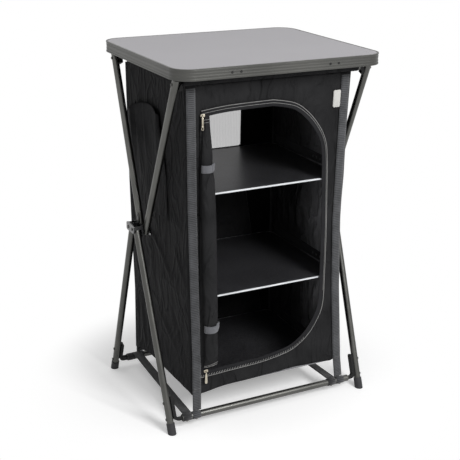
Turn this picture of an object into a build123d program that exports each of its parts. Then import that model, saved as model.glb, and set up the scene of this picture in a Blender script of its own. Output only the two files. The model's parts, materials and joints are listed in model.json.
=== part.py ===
from build123d import *
from math import hypot
import os

os.makedirs("parts", exist_ok=True)

# Folding camping cupboard. Millimetres, +Z up, +X to the right, the door faces -Y.
# The origin is on the floor under the middle of the tabletop.

# Tabletop: a laminated board in a rolled aluminium edge trim
TOP_LENGTH = 600.0
TOP_DEPTH = 520.0
TOP_HEIGHT = 1000.0
TOP_CORNER_R = 52.0
TRIM_HEIGHT = 29.0
TRIM_WALL = 1.6
TRIM_LIP = 4.0
TRIM_BEAD = 1.0
TRIM_BEAD_HEIGHT = 3.2
TRIM_RIDGE = 0.5
TRIM_RIDGE_HEIGHT = 1.4
TRIM_RIDGE_SPACING = 11.0
BOARD_THICKNESS = 8.0
BOARD_BELOW_RIM = 0.3

# Rails under the tabletop, which sit on the upper cross tubes
RAIL_WIDTH = 38.0
RAIL_WALL = 1.6
RAIL_SPACING = 281.0
RAIL_RIVET_PITCH = 25.0
CLIP_LENGTH = 14.0
CLIP_DROP = 15.0
CLIP_CHAMFER = 3.0
TRIM_RIVET_HEAD_R = 3.2
TRIM_RIVET_HEAD = 1.2

# Tubes of the folding frames
TUBE_OD = 19.0
TUBE_WALL = 1.2
TUBE_END_BEYOND_PIN = 5.0

# Upper frames: two legs and a cross tube, front and rear. OUT sizes are measured from the cabinet's side.
UPPER_PIVOT_OUT = 44.5
UPPER_PIVOT_Y = 15.0
UPPER_PIVOT_Z = 517.0
UPPER_TOP_OUT = 37.5
UPPER_TOP_Y = 204.0
UPPER_CROSS_OUT = 9.5

# Lower frames: two legs and a cross tube, front and rear
LOWER_PIVOT_OUT = 71.0
LOWER_PIVOT_Y = 13.0
LOWER_PIVOT_Z = 528.0
FOOT_OUT = 61.0
FOOT_Y = 217.0
LOWER_CROSS_Z = 33.0
LOWER_CROSS_OUT = 25.5

# Foot caps
CAP_WALL = 2.4
CAP_LENGTH = 29.0
CAP_FLOOR = 4.0
CAP_TAPER = 0.6

# Brackets that join a cross tube to its legs
BRACKET_THICKNESS = 9.0
BRACKET_WIDTH = 14.0
UPPER_BRACKET_ARM = 18.0
LOWER_BRACKET_ARM = 62.0
BRACKET_BEND_R = 12.0
BRACKET_PLUG = 34.0
RIVET_R = 2.2
RIVET_HEAD_R = 4.0
RIVET_HEAD = 2.0
HEAD_CHAMFER_SHARE = 0.45
RIVET_FIRST = 5.0
RIVET_PITCH = 45.0
UPPER_RIVETS = 1
LOWER_RIVETS = 2

# Hubs: moulded yokes in which all four legs of one side turn
HUB_HALF_Y = 26.0
HUB_WALL = 3.5
HUB_OUTER_BOTTOM = 518.0
HUB_OUTER_TOP = 541.0
HUB_INNER_BOTTOM = 506.0
HUB_INNER_TOP = 530.0
HUB_RIB = 2.4
HUB_CORNER_R = 6.0
PLATE_THICKNESS = 2.0
PLATE_WIDTH = 15.0
PLATE_TOP = 564.0
PLATE_HOLE_R = 2.6
PIN_R = 3.0
PIN_HEAD_R = 4.6
PIN_HEAD = 1.6

# Cabinet of coated fabric that hangs between the frames
BODY_WIDTH = 485.0
BODY_BASE_WIDTH = 469.0
BODY_SHIFT = -9.0
BODY_DEPTH = 402.0
BODY_BOTTOM = 96.0
FABRIC = 2.0
HEM_END = 2.0
HEM_THICKNESS = 1.0

# Doorway, drawn from the middle of the zip line
DOOR_LEFT = -205.0
DOOR_RIGHT = 187.0
DOOR_BELOW_TOP = 57.0
DOOR_TOP_DROP = 14.0
DOOR_ABOVE_BASE = 76.0
DOOR_LEFT_DROP = 18.0
DOOR_UPPER_CURVE = (165.0, 265.0)
DOOR_LOWER_CURVE = (200.0, 195.0)
DOOR_LEFT_R = 10.0
DOOR_BAND = 17.0
ZIP_WIDTH = 9.0
ZIP_THICKNESS = 1.0

# Rolled door with its two ties, which hangs in front of the panel
ROLL_X = -177.0
ROLL_R = 16.5
ROLL_TOP_R = 9.0
ROLL_GAP = 8.0
TIE_HEIGHT = 24.0
TIE_THICKNESS = 1.2
TIE_BELOW_DOOR_TOP = 157.0
TIE_ABOVE_DOOR_BASE = 137.0
TIE_TAB = 6.0

# Zip sliders and their pulls
SLIDER_INSET = 1.0
SLIDER_LENGTH = 12.0
SLIDER_WIDTH = 8.0
SLIDER_DEPTH = 5.0
SLIDER_CORNER_R = 2.4
SLIDER_PIN_R = 0.8
PULL_LENGTH = 30.0
PULL_WIDTH = 6.0
PULL_THICKNESS = 1.4
PULL_BARREL_R = 1.8
PULL_BARREL_WIDTH = 4.0
PULL_HOLE_R = 1.4
PULL_CORNER_R = 2.7
EAR_THICKNESS = 1.2

# Window in the back panel, side pocket and care label
WINDOW_HALF = 120.0
WINDOW_BELOW_TOP = 44.0
WINDOW_ABOVE_SHELF = 14.0
WINDOW_CORNER_R = 12.0
MESH_THICKNESS = 1.2
POCKET_FRONT = -38.0
POCKET_BACK = 190.0
POCKET_BELOW_TOP = 109.0
POCKET_HEIGHT = 280.0
POCKET_DEPTH = 10.0
POCKET_CHAMFER = 6.0
LABEL_WIDTH = 20.0
LABEL_HEIGHT = 50.0
LABEL_CORNER_R = 2.5
LABEL_X = 199.0
LABEL_BELOW_TOP = 44.0

# Shelves
LOWER_COMPARTMENT = 271.0
UPPER_COMPARTMENT = 287.0
SHELF_THICKNESS = 5.0
SHELF_GAP = 0.5
SHELF_CORNER_R = 22.0
SHELF_EDGE_DEPTH = 3.0
SHELF_EDGE_LIP = 0.6
SHELF_EDGE_R = 1.8

# Webbing at the corners and under the cabinet
WEBBING_WIDTH = 25.0
WEBBING_THICKNESS = 1.2
WEBBING_X = 226.0
WEBBING_BELOW_TOP = 14.0
WEBBING_FOOT_XS = (-226.0, 240.0)
BASE_STRAP_XS = (-254.0, 211.0)
LOOP_SCREW_R = 2.0
SCREW_HEAD_R = 3.6
SCREW_HEAD = 2.2

# Clearances
MOVING_GAP = 0.3
FORK_GAP = 0.5
SOFT_GAP = 0.2
PIN_CLEARANCE = 0.05
RIVET_CLEARANCE = 0.1

# Values worked out from the sizes above
tube_r = TUBE_OD / 2
bore_r = tube_r - TUBE_WALL
trim_bottom = TOP_HEIGHT - TRIM_HEIGHT
board_top = TOP_HEIGHT - BOARD_BELOW_RIM
board_step = TOP_HEIGHT - TRIM_WALL / 2
board_bottom = board_top - BOARD_THICKNESS
rail_bottom = trim_bottom
sleeve_r = tube_r + MOVING_GAP + HEM_THICKNESS
upper_cross_z = rail_bottom - MOVING_GAP - sleeve_r
lower_slope = (FOOT_Y - LOWER_PIVOT_Y) / LOWER_PIVOT_Z
lower_cross_y = FOOT_Y - LOWER_CROSS_Z * lower_slope
body_top = upper_cross_z - sleeve_r - MOVING_GAP
front_face = BODY_DEPTH / 2
inner_front = front_face - FABRIC
upper_pivot_x = BODY_WIDTH / 2 + UPPER_PIVOT_OUT
upper_top_x = BODY_WIDTH / 2 + UPPER_TOP_OUT
upper_cross_half = BODY_WIDTH / 2 + UPPER_CROSS_OUT
lower_pivot_x = BODY_WIDTH / 2 + LOWER_PIVOT_OUT
foot_x = BODY_WIDTH / 2 + FOOT_OUT
lower_cross_half = BODY_WIDTH / 2 + LOWER_CROSS_OUT
side_slope = (BODY_WIDTH - BODY_BASE_WIDTH) / 2 / (body_top - BODY_BOTTOM)
board_half = BODY_BASE_WIDTH / 2 - FABRIC - SHELF_GAP
loop_r = tube_r + MOVING_GAP + WEBBING_THICKNESS
webbing_bottom = LOWER_CROSS_Z + loop_r + MOVING_GAP
webbing_top = body_top - WEBBING_BELOW_TOP
floor_board_top = BODY_BOTTOM + FABRIC + SHELF_THICKNESS
lower_shelf_top = floor_board_top + LOWER_COMPARTMENT
upper_shelf_top = body_top - UPPER_COMPARTMENT
door_top = body_top - DOOR_BELOW_TOP
door_bottom = BODY_BOTTOM + DOOR_ABOVE_BASE
door_top_left = door_top - DOOR_TOP_DROP
door_bottom_left = door_bottom - DOOR_LEFT_DROP
tie_levels = (door_bottom_left + TIE_ABOVE_DOOR_BASE, door_top - TIE_BELOW_DOOR_TOP)
window_bottom = upper_shelf_top + WINDOW_ABOVE_SHELF
window_top = body_top - WINDOW_BELOW_TOP
pocket_top = body_top - POCKET_BELOW_TOP
pocket_bottom = pocket_top - POCKET_HEIGHT
label_z = body_top - LABEL_BELOW_TOP - LABEL_HEIGHT / 2
hem_half = upper_cross_half - HEM_END
tape_back = front_face + SOFT_GAP
roll_y = -(tape_back + TIE_THICKNESS + SOFT_GAP + ROLL_R)
slider_x = DOOR_LEFT + SLIDER_INSET + SLIDER_LENGTH / 2
slider_back = tape_back + ZIP_THICKNESS + SOFT_GAP
pull_y = -(slider_back + SLIDER_DEPTH + PULL_BARREL_R + MOVING_GAP)
slider_levels = {"lower": door_bottom_left + ZIP_WIDTH / 2, "upper": door_top_left - ZIP_WIDTH / 2}


def save(part, name):
    """Labels a finished piece and writes its STEP file."""
    part.label = name
    export_step(part, f"parts/{name}.step")


def save_hung(part, name):
    """Saves a piece of the cabinet, which hangs a little off the middle of the cross tubes."""
    save(Pos(BODY_SHIFT, 0, 0) * part, name)


def body_half(level):
    """Half the width of the cabinet at a height: it draws in towards its base."""
    return BODY_BASE_WIDTH / 2 + side_slope * (level - BODY_BOTTOM)


def across(direction):
    """The direction square to a tube that lies nearest to world X, or Y for a tube along X."""
    if abs(direction.X) > 0.9:
        return Vector(0, 1, 0)
    return Vector(1, 0, 0) - direction * direction.X


def tube_between(start, end, before, beyond):
    """A hollow tube along a line, longer than it by set amounts at each end."""
    line = Vector(*end) - Vector(*start)
    axis = line.normalized()
    base = Plane(origin=Vector(*start) - axis * before, x_dir=across(axis), z_dir=axis)
    with BuildPart() as tube:
        with BuildSketch(base):
            Circle(tube_r)
            Circle(bore_r, mode=Mode.SUBTRACT)
        extrude(amount=line.length + before + beyond)
    return tube.part


def drill_along_x(part, points, radius, half_length):
    """Cuts round holes along X through a piece."""
    with BuildPart() as drilled:
        add(part)
        for point in points:
            with BuildSketch(Plane(origin=point, x_dir=(0, 1, 0), z_dir=(1, 0, 0))):
                Circle(radius)
            extrude(amount=half_length, both=True, mode=Mode.SUBTRACT)
    return drilled.part


def frame_plane(pivot, end):
    """The plane of a frame: x along world X, y down the frame from pivot to end, in (y, z)."""
    run = Vector(0, end[0] - pivot[0], end[1] - pivot[1]).normalized()
    return Plane(origin=(0, pivot[0], pivot[1]), x_dir=(1, 0, 0), z_dir=Vector(1, 0, 0).cross(run))


def leg_x(pivot_x, end_x, share):
    """X of a leg's centre line at a share of its length from the pivot."""
    return pivot_x + (end_x - pivot_x) * share


# The four frames: where they turn, where their legs end and where the cross tube lies
FRAMES = {}
for face, sign in (("front", -1), ("rear", 1)):
    FRAMES[f"upper_{face}"] = {
        "pivot_x": upper_pivot_x,
        "pivot": (sign * UPPER_PIVOT_Y, UPPER_PIVOT_Z),
        "end_x": upper_top_x,
        "end": (sign * UPPER_TOP_Y, upper_cross_z),
        "cross": (sign * UPPER_TOP_Y, upper_cross_z),
        "cross_half": upper_cross_half,
        "arm": UPPER_BRACKET_ARM,
        "rivets": UPPER_RIVETS,
        "beyond": tube_r - MOVING_GAP,
    }
    FRAMES[f"lower_{face}"] = {
        "pivot_x": lower_pivot_x,
        "pivot": (sign * LOWER_PIVOT_Y, LOWER_PIVOT_Z),
        "end_x": foot_x,
        "end": (sign * FOOT_Y, 0.0),
        "cross": (sign * lower_cross_y, LOWER_CROSS_Z),
        "cross_half": lower_cross_half,
        "arm": LOWER_BRACKET_ARM,
        "rivets": LOWER_RIVETS,
        "beyond": -CAP_FLOOR,
    }


def run_of(frame):
    """Length of a frame's legs and the distance from the pivot to its cross tube."""
    pivot, end, cross = frame["pivot"], frame["end"], frame["cross"]
    length = hypot(end[0] - pivot[0], end[1] - pivot[1])
    return length, hypot(cross[0] - pivot[0], cross[1] - pivot[1])


def rivet_levels(frame):
    """Distances down the frame at which its bracket rivets go through the legs."""
    reach = run_of(frame)[1]
    return [reach - RIVET_FIRST - step * RIVET_PITCH for step in range(frame["rivets"])]


def rivet_points(frame, side):
    """Where the bracket rivets cross the middle of one leg."""
    plane = frame_plane(frame["pivot"], frame["end"])
    length = run_of(frame)[0]
    points = []
    for level in rivet_levels(frame):
        x = side * leg_x(frame["pivot_x"], frame["end_x"], level / length)
        points.append(plane.from_local_coords(Vector(x, level, 0)))
    return points


def make_leg(frame, side):
    """One leg tube with its pivot hole and rivet holes."""
    start = (side * frame["pivot_x"], *frame["pivot"])
    end = (side * frame["end_x"], *frame["end"])
    tube = tube_between(start, end, TUBE_END_BEYOND_PIN, frame["beyond"])
    tube = drill_along_x(tube, [start], PIN_R + PIN_CLEARANCE, TUBE_OD)
    return drill_along_x(tube, rivet_points(frame, side), RIVET_R + RIVET_CLEARANCE, TUBE_OD)


def make_bracket(frame, side):
    """Moulded bracket: an arm beside the leg, a round bend and a plug in the cross tube."""
    plane = frame_plane(frame["pivot"], frame["end"])
    length, reach = run_of(frame)
    beside = tube_r + MOVING_GAP + BRACKET_THICKNESS / 2
    corner_x = side * (leg_x(frame["pivot_x"], frame["end_x"], reach / length) - beside)
    arm_share = (reach - frame["arm"]) / length
    arm_x = side * (leg_x(frame["pivot_x"], frame["end_x"], arm_share) - beside)
    collar_x = side * frame["cross_half"]
    with BuildPart() as bracket:
        with BuildSketch(plane):
            with BuildLine():
                FilletPolyline(
                    (arm_x, reach - frame["arm"]),
                    (corner_x, reach),
                    (collar_x, reach),
                    radius=BRACKET_BEND_R,
                )
            trace(line_width=BRACKET_THICKNESS)
            with Locations((arm_x, reach - frame["arm"])):
                Circle(BRACKET_THICKNESS / 2)
        extrude(amount=BRACKET_WIDTH / 2, both=True)
        collar = Plane(origin=(collar_x, *frame["cross"]), x_dir=(0, 1, 0), z_dir=(-side, 0, 0))
        with BuildSketch(collar):
            Circle(bore_r - SOFT_GAP)
        extrude(amount=BRACKET_PLUG)
    return drill_along_x(bracket.part, rivet_points(frame, side), RIVET_R + RIVET_CLEARANCE, 2 * TUBE_OD)


def make_cap(frame, side):
    """Rubber foot cap, cut level with the floor."""
    foot = Vector(side * frame["end_x"], *frame["end"])
    axis = (Vector(side * frame["pivot_x"], *frame["pivot"]) - foot).normalized()
    seat = Plane(origin=foot + axis * CAP_FLOOR, x_dir=across(axis), z_dir=axis)
    with BuildPart() as cap:
        with BuildSketch(seat.offset(-3 * CAP_FLOOR)):
            Circle(tube_r + CAP_WALL)
        extrude(amount=CAP_LENGTH + 2 * CAP_FLOOR, taper=CAP_TAPER)
        with BuildSketch(seat):
            Circle(tube_r)
        extrude(amount=CAP_LENGTH, mode=Mode.SUBTRACT)
        split(bisect_by=Plane.XY, keep=Keep.TOP)
    return cap.part


def screw_seats(frame):
    """Undersides of the webbing loops on a lower cross tube, and the way the screws point."""
    down = frame_plane(frame["pivot"], frame["end"]).y_dir
    return [Vector(x, *frame["cross"]) + down * loop_r for x in WEBBING_FOOT_XS + BASE_STRAP_XS], down


def drill_for_screws(part, frame):
    """Cuts the screw holes of a lower cross tube through its lower wall."""
    seats, down = screw_seats(frame)
    with BuildPart() as drilled:
        add(part)
        for seat in seats:
            with BuildSketch(Plane(origin=seat, x_dir=(1, 0, 0), z_dir=down)):
                Circle(LOOP_SCREW_R + RIVET_CLEARANCE)
            extrude(amount=-tube_r, mode=Mode.SUBTRACT)
    return drilled.part


def make_loops(frame):
    """Ends of the corner webbing and the base straps, closed round a lower cross tube."""
    with BuildPart() as loops:
        for x in WEBBING_FOOT_XS + BASE_STRAP_XS:
            with BuildSketch(Plane(origin=(x, *frame["cross"]), x_dir=(0, 1, 0), z_dir=(1, 0, 0))):
                Circle(loop_r)
                Circle(loop_r - WEBBING_THICKNESS, mode=Mode.SUBTRACT)
            extrude(amount=WEBBING_WIDTH / 2, both=True)
    return drill_for_screws(loops.part, frame)


def rivet(point, direction, shank, radius, head_radius, head):
    """A round-headed fastener: its shank runs back from the head's seat at the point."""
    seat = Plane(origin=point, z_dir=direction)
    with BuildPart() as fastener:
        with BuildSketch(seat):
            Circle(head_radius)
        extrude(amount=head)
        chamfer(fastener.edges().sort_by(Axis(point, direction))[-1], head * HEAD_CHAMFER_SHARE)
        with BuildSketch(seat):
            Circle(radius)
        extrude(amount=-shank)
    return fastener.part


# Tabletop trim: a rolled wall with a bead and an inward lip at both edges
ridge_middle = trim_bottom + (TRIM_HEIGHT - TRIM_RIDGE_HEIGHT) / 2
trim_bands = (
    (trim_bottom, TRIM_HEIGHT, 0.0, TRIM_WALL),
    (trim_bottom, TRIM_BEAD_HEIGHT, TRIM_BEAD, TRIM_WALL),
    (TOP_HEIGHT - TRIM_BEAD_HEIGHT, TRIM_BEAD_HEIGHT, TRIM_BEAD, TRIM_WALL),
    (ridge_middle - TRIM_RIDGE_SPACING / 2, TRIM_RIDGE_HEIGHT, TRIM_RIDGE, TRIM_WALL),
    (ridge_middle + TRIM_RIDGE_SPACING / 2, TRIM_RIDGE_HEIGHT, TRIM_RIDGE, TRIM_WALL),
    (trim_bottom, TRIM_WALL / 2, 0.0, TRIM_LIP),
    (TOP_HEIGHT - TRIM_WALL / 2, TRIM_WALL / 2, 0.0, TRIM_LIP),
)
wall_length = TOP_LENGTH - 2 * TRIM_BEAD
wall_depth = TOP_DEPTH - 2 * TRIM_BEAD
wall_corner = TOP_CORNER_R - TRIM_BEAD
rivet_z = trim_bottom + TRIM_HEIGHT / 2
trim_rivet_xs = [
    side * RAIL_SPACING / 2 + step * RAIL_RIVET_PITCH / 2 for side in (-1, 1) for step in (-1, 1)
]
with BuildPart() as tabletop_trim:
    for base, height, outward, inward in trim_bands:
        with BuildSketch(Plane.XY.offset(base)):
            RectangleRounded(wall_length + 2 * outward, wall_depth + 2 * outward, wall_corner + outward)
            RectangleRounded(
                wall_length - 2 * inward, wall_depth - 2 * inward, wall_corner - inward, mode=Mode.SUBTRACT
            )
        extrude(amount=height)
    with BuildSketch(Plane.XZ):
        with Locations(*[(x, rivet_z) for x in trim_rivet_xs]):
            Circle(RIVET_R + RIVET_CLEARANCE)
    extrude(amount=TOP_DEPTH, both=True, mode=Mode.SUBTRACT)
save(tabletop_trim.part, "tabletop_trim")

# The board is stepped round its edge, so that its face lies inside the lip of the trim
board_layers = (
    (board_bottom, board_step, TRIM_WALL + SOFT_GAP),
    (board_step, board_top, TRIM_LIP + SOFT_GAP),
)
with BuildPart() as tabletop_board:
    for low, high, inset in board_layers:
        with BuildSketch(Plane.XY.offset(low)):
            RectangleRounded(wall_length - 2 * inset, wall_depth - 2 * inset, wall_corner - inset)
        extrude(amount=high - low)
save(tabletop_board.part, "tabletop_board")

# Rails under the board: open channels with closed ends, riveted through the trim
rail_length = wall_depth - 2 * TRIM_WALL
rail_height = board_bottom - rail_bottom
with BuildPart() as support_rails:
    with BuildSketch(Plane.XY.offset(rail_bottom)):
        with Locations((-RAIL_SPACING / 2, 0), (RAIL_SPACING / 2, 0)):
            Rectangle(RAIL_WIDTH, rail_length - 2 * TRIM_LIP)
    extrude(amount=rail_height)
    with BuildSketch(Plane.XY.offset(rail_bottom + TRIM_WALL)):
        with Locations((-RAIL_SPACING / 2, 0), (RAIL_SPACING / 2, 0)):
            Rectangle(RAIL_WIDTH, rail_length)
    extrude(amount=rail_height - TRIM_WALL)
    with BuildSketch(Plane.XY.offset(rail_bottom + RAIL_WALL)):
        with Locations((-RAIL_SPACING / 2, 0), (RAIL_SPACING / 2, 0)):
            Rectangle(RAIL_WIDTH - 2 * RAIL_WALL, rail_length - 2 * TRIM_LIP - 2 * RAIL_WALL)
    extrude(amount=rail_height, mode=Mode.SUBTRACT)
    with BuildSketch(Plane.XZ):
        with Locations(*[(x, rivet_z) for x in trim_rivet_xs]):
            Circle(RIVET_R + RIVET_CLEARANCE)
    extrude(amount=TOP_DEPTH, both=True, mode=Mode.SUBTRACT)
save(support_rails.part, "support_rails")

# Clips under the rails keep the upper cross tubes from sliding inwards
clip_inner = UPPER_TOP_Y - sleeve_r - MOVING_GAP - CLIP_LENGTH
with BuildPart() as locating_clips:
    with BuildSketch(Plane.XY.offset(rail_bottom - CLIP_DROP)):
        with GridLocations(RAIL_SPACING, 2 * clip_inner + CLIP_LENGTH, 2, 2):
            Rectangle(RAIL_WIDTH, CLIP_LENGTH)
    extrude(amount=CLIP_DROP)
    chamfer(locating_clips.edges().group_by(Axis.Z)[0].filter_by(Axis.X), CLIP_CHAMFER)
save(locating_clips.part, "locating_clips")

with BuildPart() as trim_rivets:
    for x in trim_rivet_xs:
        for sign in (-1, 1):
            seat = (x, sign * wall_depth / 2, rivet_z)
            shank = TRIM_WALL + TRIM_LIP + RAIL_WALL
            add(rivet(seat, (0, sign, 0), shank, RIVET_R, TRIM_RIVET_HEAD_R, TRIM_RIVET_HEAD))
save(trim_rivets.part, "trim_rivets")

# Frames: legs, cross tubes, brackets, rivets, screws and foot caps
for frame_name, frame in FRAMES.items():
    level, face = frame_name.split("_")
    for side, side_name in ((-1, "left"), (1, "right")):
        save(make_leg(frame, side), f"{level}_leg_{face}_{side_name}")

    cross_start = (-frame["cross_half"], *frame["cross"])
    cross_end = (frame["cross_half"], *frame["cross"])
    cross_tube = tube_between(cross_start, cross_end, 0, 0)
    if level == "lower":
        cross_tube = drill_for_screws(cross_tube, frame)
    save(cross_tube, f"{level}_cross_tube_{face}")

    with BuildPart() as brackets:
        for side in (-1, 1):
            add(make_bracket(frame, side))
    save(brackets.part, f"{level}_brackets_{face}")

    with BuildPart() as rivets:
        for side in (-1, 1):
            for point in rivet_points(frame, side):
                seat = point + Vector(side * (tube_r + RIVET_CLEARANCE), 0, 0)
                shank = TUBE_OD + MOVING_GAP + BRACKET_THICKNESS
                add(rivet(seat, (side, 0, 0), shank, RIVET_R, RIVET_HEAD_R, RIVET_HEAD))
    save(rivets.part, f"{level}_rivets_{face}")

for face in ("front", "rear"):
    frame = FRAMES[f"lower_{face}"]
    with BuildPart() as caps:
        for side in (-1, 1):
            add(make_cap(frame, side))
    save(caps.part, f"foot_caps_{face}")
    save(make_loops(frame), f"webbing_loops_{face}")

    seats, down = screw_seats(frame)
    with BuildPart() as screws:
        for seat in seats:
            add(rivet(seat, tuple(down), loop_r - bore_r, LOOP_SCREW_R, SCREW_HEAD_R, SCREW_HEAD))
    save(screws.part, f"loop_screws_{face}")

# Hubs: an outer yoke for the lower legs and an inner yoke for the upper legs, back to back
lower_wall_in = lower_pivot_x - tube_r - FORK_GAP
lower_wall_out = lower_pivot_x + tube_r + FORK_GAP
upper_wall_in = upper_pivot_x - tube_r - FORK_GAP
plate_x = upper_pivot_x + tube_r + FORK_GAP
middle_wall = plate_x + PLATE_THICKNESS


def yoke_profile(bottom, top):
    """Side view of a yoke wall, in (y, z)."""
    with BuildSketch() as profile:
        with Locations((0, (bottom + top) / 2)):
            RectangleRounded(2 * HUB_HALF_Y, top - bottom, HUB_CORNER_R)
    return profile.sketch


def plate_profile():
    """Steel plate between the yokes, in (y, z): a round lug at the back, a foot at the front."""
    with BuildSketch() as profile:
        with BuildLine():
            Polyline(
                (UPPER_PIVOT_Y, PLATE_TOP - PLATE_WIDTH / 2),
                (UPPER_PIVOT_Y, UPPER_PIVOT_Z + PLATE_WIDTH / 2),
                (-UPPER_PIVOT_Y, UPPER_PIVOT_Z),
            )
        trace(line_width=PLATE_WIDTH)
        with Locations((UPPER_PIVOT_Y, PLATE_TOP - PLATE_WIDTH / 2), (-UPPER_PIVOT_Y, UPPER_PIVOT_Z)):
            Circle(PLATE_WIDTH / 2)
    return profile.sketch


def make_hub(side):
    """One hub, with closed pockets outside and open forks inside."""
    outer = yoke_profile(HUB_OUTER_BOTTOM, HUB_OUTER_TOP)
    inner = yoke_profile(HUB_INNER_BOTTOM, HUB_INNER_TOP)
    with BuildPart() as hub:
        with BuildSketch(Plane.YZ.offset(middle_wall)):
            add(outer)
            add(inner)
        extrude(amount=lower_wall_in - middle_wall)
        with BuildSketch(Plane.YZ.offset(lower_wall_out)):
            add(outer)
        extrude(amount=HUB_WALL)
        with BuildSketch(Plane.YZ.offset(upper_wall_in - HUB_WALL)):
            add(inner)
        extrude(amount=HUB_WALL)
        with BuildSketch(Plane.XZ):
            with Locations(((middle_wall + lower_wall_out) / 2, (HUB_OUTER_BOTTOM + HUB_OUTER_TOP) / 2)):
                Rectangle(lower_wall_out - middle_wall, HUB_OUTER_TOP - HUB_OUTER_BOTTOM)
        extrude(amount=HUB_RIB / 2, both=True)
        with BuildSketch(Plane.XZ):
            with Locations(((upper_wall_in + middle_wall) / 2, (HUB_INNER_BOTTOM + HUB_INNER_TOP) / 2)):
                Rectangle(middle_wall - upper_wall_in, HUB_INNER_TOP - HUB_INNER_BOTTOM)
        extrude(amount=HUB_RIB / 2, both=True)
        for sign in (-1, 1):
            with BuildSketch(Plane.XY.offset(LOWER_PIVOT_Z)):
                with Locations(((middle_wall + lower_wall_out) / 2, sign * (HUB_HALF_Y - HUB_RIB / 2))):
                    Rectangle(lower_wall_out - middle_wall, HUB_RIB)
            extrude(amount=HUB_OUTER_TOP - HUB_CORNER_R / 2 - LOWER_PIVOT_Z)
        with BuildSketch(Plane.YZ.offset(upper_wall_in - HUB_WALL)):
            with Locations((-UPPER_PIVOT_Y, UPPER_PIVOT_Z), (UPPER_PIVOT_Y, UPPER_PIVOT_Z)):
                Circle(PIN_R)
        extrude(amount=lower_wall_in - upper_wall_in + HUB_WALL, mode=Mode.SUBTRACT)
        with BuildSketch(Plane.YZ.offset(middle_wall)):
            with Locations((-LOWER_PIVOT_Y, LOWER_PIVOT_Z), (LOWER_PIVOT_Y, LOWER_PIVOT_Z)):
                Circle(PIN_R)
        extrude(amount=lower_wall_out - middle_wall + HUB_WALL, mode=Mode.SUBTRACT)
        with BuildSketch(Plane.YZ.offset(plate_x)):
            add(plate_profile())
        extrude(amount=PLATE_THICKNESS, mode=Mode.SUBTRACT)
    if side > 0:
        return hub.part
    return mirror(hub.part, about=Plane.YZ)


for side, side_name in ((-1, "left"), (1, "right")):
    save(make_hub(side), f"hub_{side_name}")

with BuildPart() as hub_plates:
    for side in (-1, 1):
        with BuildSketch(Plane.YZ.offset(side * (plate_x + PLATE_THICKNESS / 2))):
            add(plate_profile())
            with Locations((-UPPER_PIVOT_Y, UPPER_PIVOT_Z), (UPPER_PIVOT_Y, UPPER_PIVOT_Z)):
                Circle(PIN_R, mode=Mode.SUBTRACT)
            with Locations((UPPER_PIVOT_Y, PLATE_TOP - PLATE_WIDTH / 2)):
                Circle(PLATE_HOLE_R, mode=Mode.SUBTRACT)
        extrude(amount=PLATE_THICKNESS / 2, both=True)
save(hub_plates.part, "hub_plates")

with BuildPart() as pivot_pins:
    for side in (-1, 1):
        for sign in (-1, 1):
            lower_seat = (side * (lower_wall_out + HUB_WALL), sign * LOWER_PIVOT_Y, LOWER_PIVOT_Z)
            lower_shank = lower_wall_out + HUB_WALL - middle_wall
            add(rivet(lower_seat, (side, 0, 0), lower_shank, PIN_R, PIN_HEAD_R, PIN_HEAD))
            upper_seat = (side * (upper_wall_in - HUB_WALL), sign * UPPER_PIVOT_Y, UPPER_PIVOT_Z)
            upper_shank = lower_wall_in - upper_wall_in + HUB_WALL
            add(rivet(upper_seat, (-side, 0, 0), upper_shank, PIN_R, PIN_HEAD_R, PIN_HEAD))
save(pivot_pins.part, "pivot_pins")


# Cabinet panels
def slab(low, high):
    """A flat rectangular piece between two corners."""
    with BuildPart() as flat:
        with Locations([tuple((a + b) / 2 for a, b in zip(low, high))]):
            Box(*[b - a for a, b in zip(low, high)])
    return flat.part


def door_outline(inset):
    """The doorway in (x, z), at a set distance inside the zip line."""
    left, right = DOOR_LEFT + inset, DOOR_RIGHT - inset
    top, top_left = door_top - inset, door_top_left - inset
    low, low_left = door_bottom + inset, door_bottom_left + inset
    up_x, up_z = DOOR_UPPER_CURVE[0] - inset, DOOR_UPPER_CURVE[1] - inset
    down_x, down_z = DOOR_LOWER_CURVE[0] - inset, DOOR_LOWER_CURVE[1] - inset
    with BuildSketch() as outline:
        with BuildLine():
            Line((left, low_left), (left, top_left))
            Line((left, top_left), (right - up_x, top))
            EllipticalCenterArc((right - up_x, top - up_z), up_x, up_z, start_angle=0, arc_size=90)
            Line((right, top - up_z), (right, low + down_z))
            EllipticalCenterArc((right - down_x, low + down_z), down_x, down_z, start_angle=270, arc_size=90)
            Line((right - down_x, low), (left, low_left))
        make_face()
        fillet(outline.vertices().group_by(Axis.X)[0], DOOR_LEFT_R)
    return outline.sketch


def body_outline():
    """The cabinet's front view, in (x, z)."""
    corners = [(side * body_half(level), level) for side, level in (
        (-1, BODY_BOTTOM), (1, BODY_BOTTOM), (1, body_top), (-1, body_top))]
    with BuildSketch() as outline:
        Polygon(*corners, align=None)
    return outline.sketch


with BuildPart() as front_panel:
    with BuildSketch(Plane.XZ.offset(inner_front)):
        add(body_outline())
        add(door_outline(DOOR_BAND), mode=Mode.SUBTRACT)
    extrude(amount=FABRIC)
save_hung(front_panel.part, "front_panel")

with BuildPart() as back_panel:
    with BuildSketch(Plane.XZ.offset(-front_face)):
        add(body_outline())
        with Locations((0, (window_bottom + window_top) / 2)):
            RectangleRounded(
                2 * WINDOW_HALF, window_top - window_bottom, WINDOW_CORNER_R, mode=Mode.SUBTRACT
            )
    extrude(amount=FABRIC)
save_hung(back_panel.part, "back_panel")

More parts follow.
